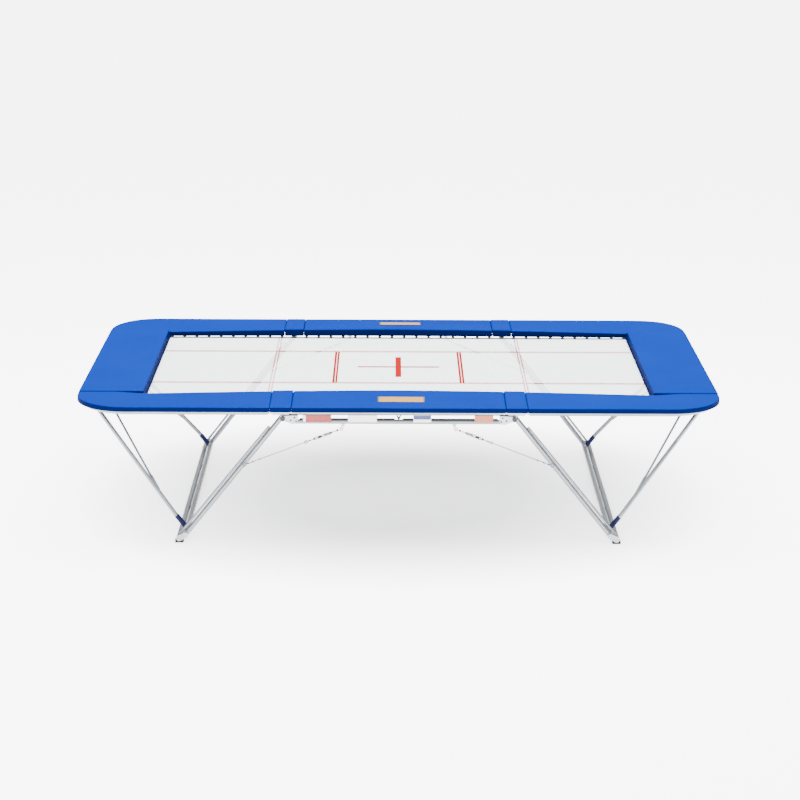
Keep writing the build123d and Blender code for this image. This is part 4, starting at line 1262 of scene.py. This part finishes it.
class FrameFinishes:
    """Finishes on the CAD nodes that stay."""

    def __init__(self) -> None:
        """Choose each node's finish."""
        tube = ZincSteel("zinc_tube")
        hardware = ZincSteel("zinc_hardware", srgb(178, 181, 185), srgb(120, 124, 130), 0.14, 0.3)
        dark = Moulded("dark_fitting", srgb(34, 35, 38), srgb(16, 16, 18), 0.35)
        socket = Moulded("blue_socket", srgb(0, 8, 62), srgb(0, 5, 44), 0.4)
        rubber = Moulded("foot_rubber", srgb(44, 44, 46), srgb(22, 22, 24), 0.62)
        coil = CoilSteel("spring_coil", 0.0034, 2.14)
        knobs = PivotHardware("pivot_hardware", 1.5272)
        self.by_ending = (("_brace_socket", socket), ("_feet", rubber), ("rail_clips", dark),
                          ("leg_pivot_bolts", knobs), ("springs", coil), ("_hinge_links", hardware),
                          ("_hinge_ears", hardware), ("_brace_ears", hardware), ("leg_pivot_plates", hardware),
                          ("cable_anchors", hardware), ("_leg_fittings", hardware), ("", tube))

    def dress(self) -> None:
        """Dress every CAD node, those that stay and those that don't show."""
        for name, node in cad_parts.items():
            finish = next(found for ending, found in self.by_ending if name.endswith(ending))
            finish.dress(node)
        LOG.info("%d CAD nodes dressed", len(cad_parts))


# ---------------------------------------------------------------------------------------------
# Studio
# ---------------------------------------------------------------------------------------------

class Studio:
    """Floor, lights, world and camera."""

    lens = 98.55
    camera_place = Vector((-0.06411, -18.47522, 5.94991))
    yaw, pitch, roll = 0.00435, 0.26923, 0.00517

    def floor(self) -> None:
        """A wide pale floor."""
        work = Workpiece("studio_floor")
        bmesh.ops.create_grid(work.mesh, x_segments=2, y_segments=2, size=150.0)
        piece = work.finish(StudioFloor("studio_floor"), recalculate=False)

    def light(self, name: str, place: Sequence[float], size: tuple[float, float], power: float,
              target: Sequence[float] = (0, 0, 0.8)) -> None:
        """A rectangular soft light that faces a point."""
        data = bpy.data.lights.new(name, "AREA")
        data.shape, data.size, data.size_y, data.energy = "RECTANGLE", *size, power
        lamp = bpy.data.objects.new(name, data)
        lamp.location = place
        lamp.rotation_euler = (Vector(target) - Vector(place)).to_track_quat("-Z", "Y").to_euler()
        bpy.context.scene.collection.objects.link(lamp)

    def world(self) -> None:
        """White overhead, greyer towards the horizon, for contrast in the tubes."""
        world = bpy.data.worlds.new("studio")
        world.use_nodes = True
        tree = world.node_tree
        tree.nodes.clear()
        output = tree.nodes.new("ShaderNodeOutputWorld")
        background = tree.nodes.new("ShaderNodeBackground")
        coordinates = tree.nodes.new("ShaderNodeTexCoord")
        split = tree.nodes.new("ShaderNodeSeparateXYZ")
        ramp = tree.nodes.new("ShaderNodeValToRGB")
        for position, grey in ((0.12, 0.08), (0.34, 1.0)):
            ramp.color_ramp.elements.new(position).color = (grey, grey, grey, 1)
        for element, grey in zip((ramp.color_ramp.elements[0], ramp.color_ramp.elements[-1]), (0.05, 1.35)):
            element.color = (grey, grey, grey, 1)
        tree.links.new(coordinates.outputs["Generated"], split.inputs[0])
        tree.links.new(split.outputs["Z"], ramp.inputs[0])
        tree.links.new(ramp.outputs[0], background.inputs["Color"])
        background.inputs["Strength"].default_value = 1.9
        tree.links.new(background.outputs[0], output.inputs["Surface"])
        bpy.context.scene.world = world

    def camera(self) -> None:
        """The camera at the reference viewing angle."""
        data = bpy.data.cameras.new("camera")
        data.lens, data.sensor_width = self.lens, 36.0
        data.clip_start, data.clip_end = 0.5, 500.0
        level = Vector((math.sin(self.yaw), math.cos(self.yaw), 0)) * math.cos(self.pitch)
        ahead = level - Vector((0, 0, math.sin(self.pitch)))
        right = Vector((math.cos(self.yaw), -math.sin(self.yaw), 0))
        up = right.cross(ahead)
        tilted_right = right * math.cos(self.roll) + up * math.sin(self.roll)
        tilted_up = up * math.cos(self.roll) - right * math.sin(self.roll)
        turn = Matrix((tilted_right, tilted_up, -ahead)).transposed()
        camera = bpy.data.objects.new("camera", data)
        camera.matrix_world = Matrix.Translation(self.camera_place) @ turn.to_4x4()
        bpy.context.scene.collection.objects.link(camera)
        bpy.context.scene.camera = camera

    def build(self) -> None:
        """Set up the whole studio."""
        self.floor()
        self.world()
        self.camera()
        self.light("overhead", (0.0, 0.5, 8.5), (12.0, 8.0), 2100.0)
        self.light("front_fill", (-3.0, -11.0, 6.0), (8.0, 5.0), 600.0)
        LOG.info("studio ready")


def main() -> None:
    """Build the trampoline's looks in order."""
    logging.basicConfig(level=logging.INFO, format="%(name)s: %(message)s")
    Studio().build()
    FrameFinishes().dress()
    Bed(StringWeave("string_weave", pitch=0.0105, string_share=0.62), Webbing("dark_webbing")).build()
    # The side cover is the pad vinyl made darker: painted shade on walls, flaps and underside.
    PadSet(PadCover("pad_cover"), PadCover("pad_side", srgb(0, 14, 66), srgb(0, 10, 54))).build()
    steel = ZincSteel("rope_steel", srgb(88, 92, 97), srgb(46, 49, 54), 0.24, 0.45)
    tag = Moulded("cable_tag", srgb(140, 20, 24), srgb(100, 14, 18), 0.35)
    for side in Side:
        for row in Row:
            StayCable(side, row, steel, tag).build()
    # The first finish is the black of the rail-top strips, painted shade and dark reflection.
    FrameTrims(Moulded("guard_rubber", srgb(34, 34, 37), srgb(14, 14, 16), 0.5),
               Moulded("black_bolts", srgb(40, 41, 44), srgb(18, 18, 20), 0.3)).build()


if __name__ == "__main__":
    main()
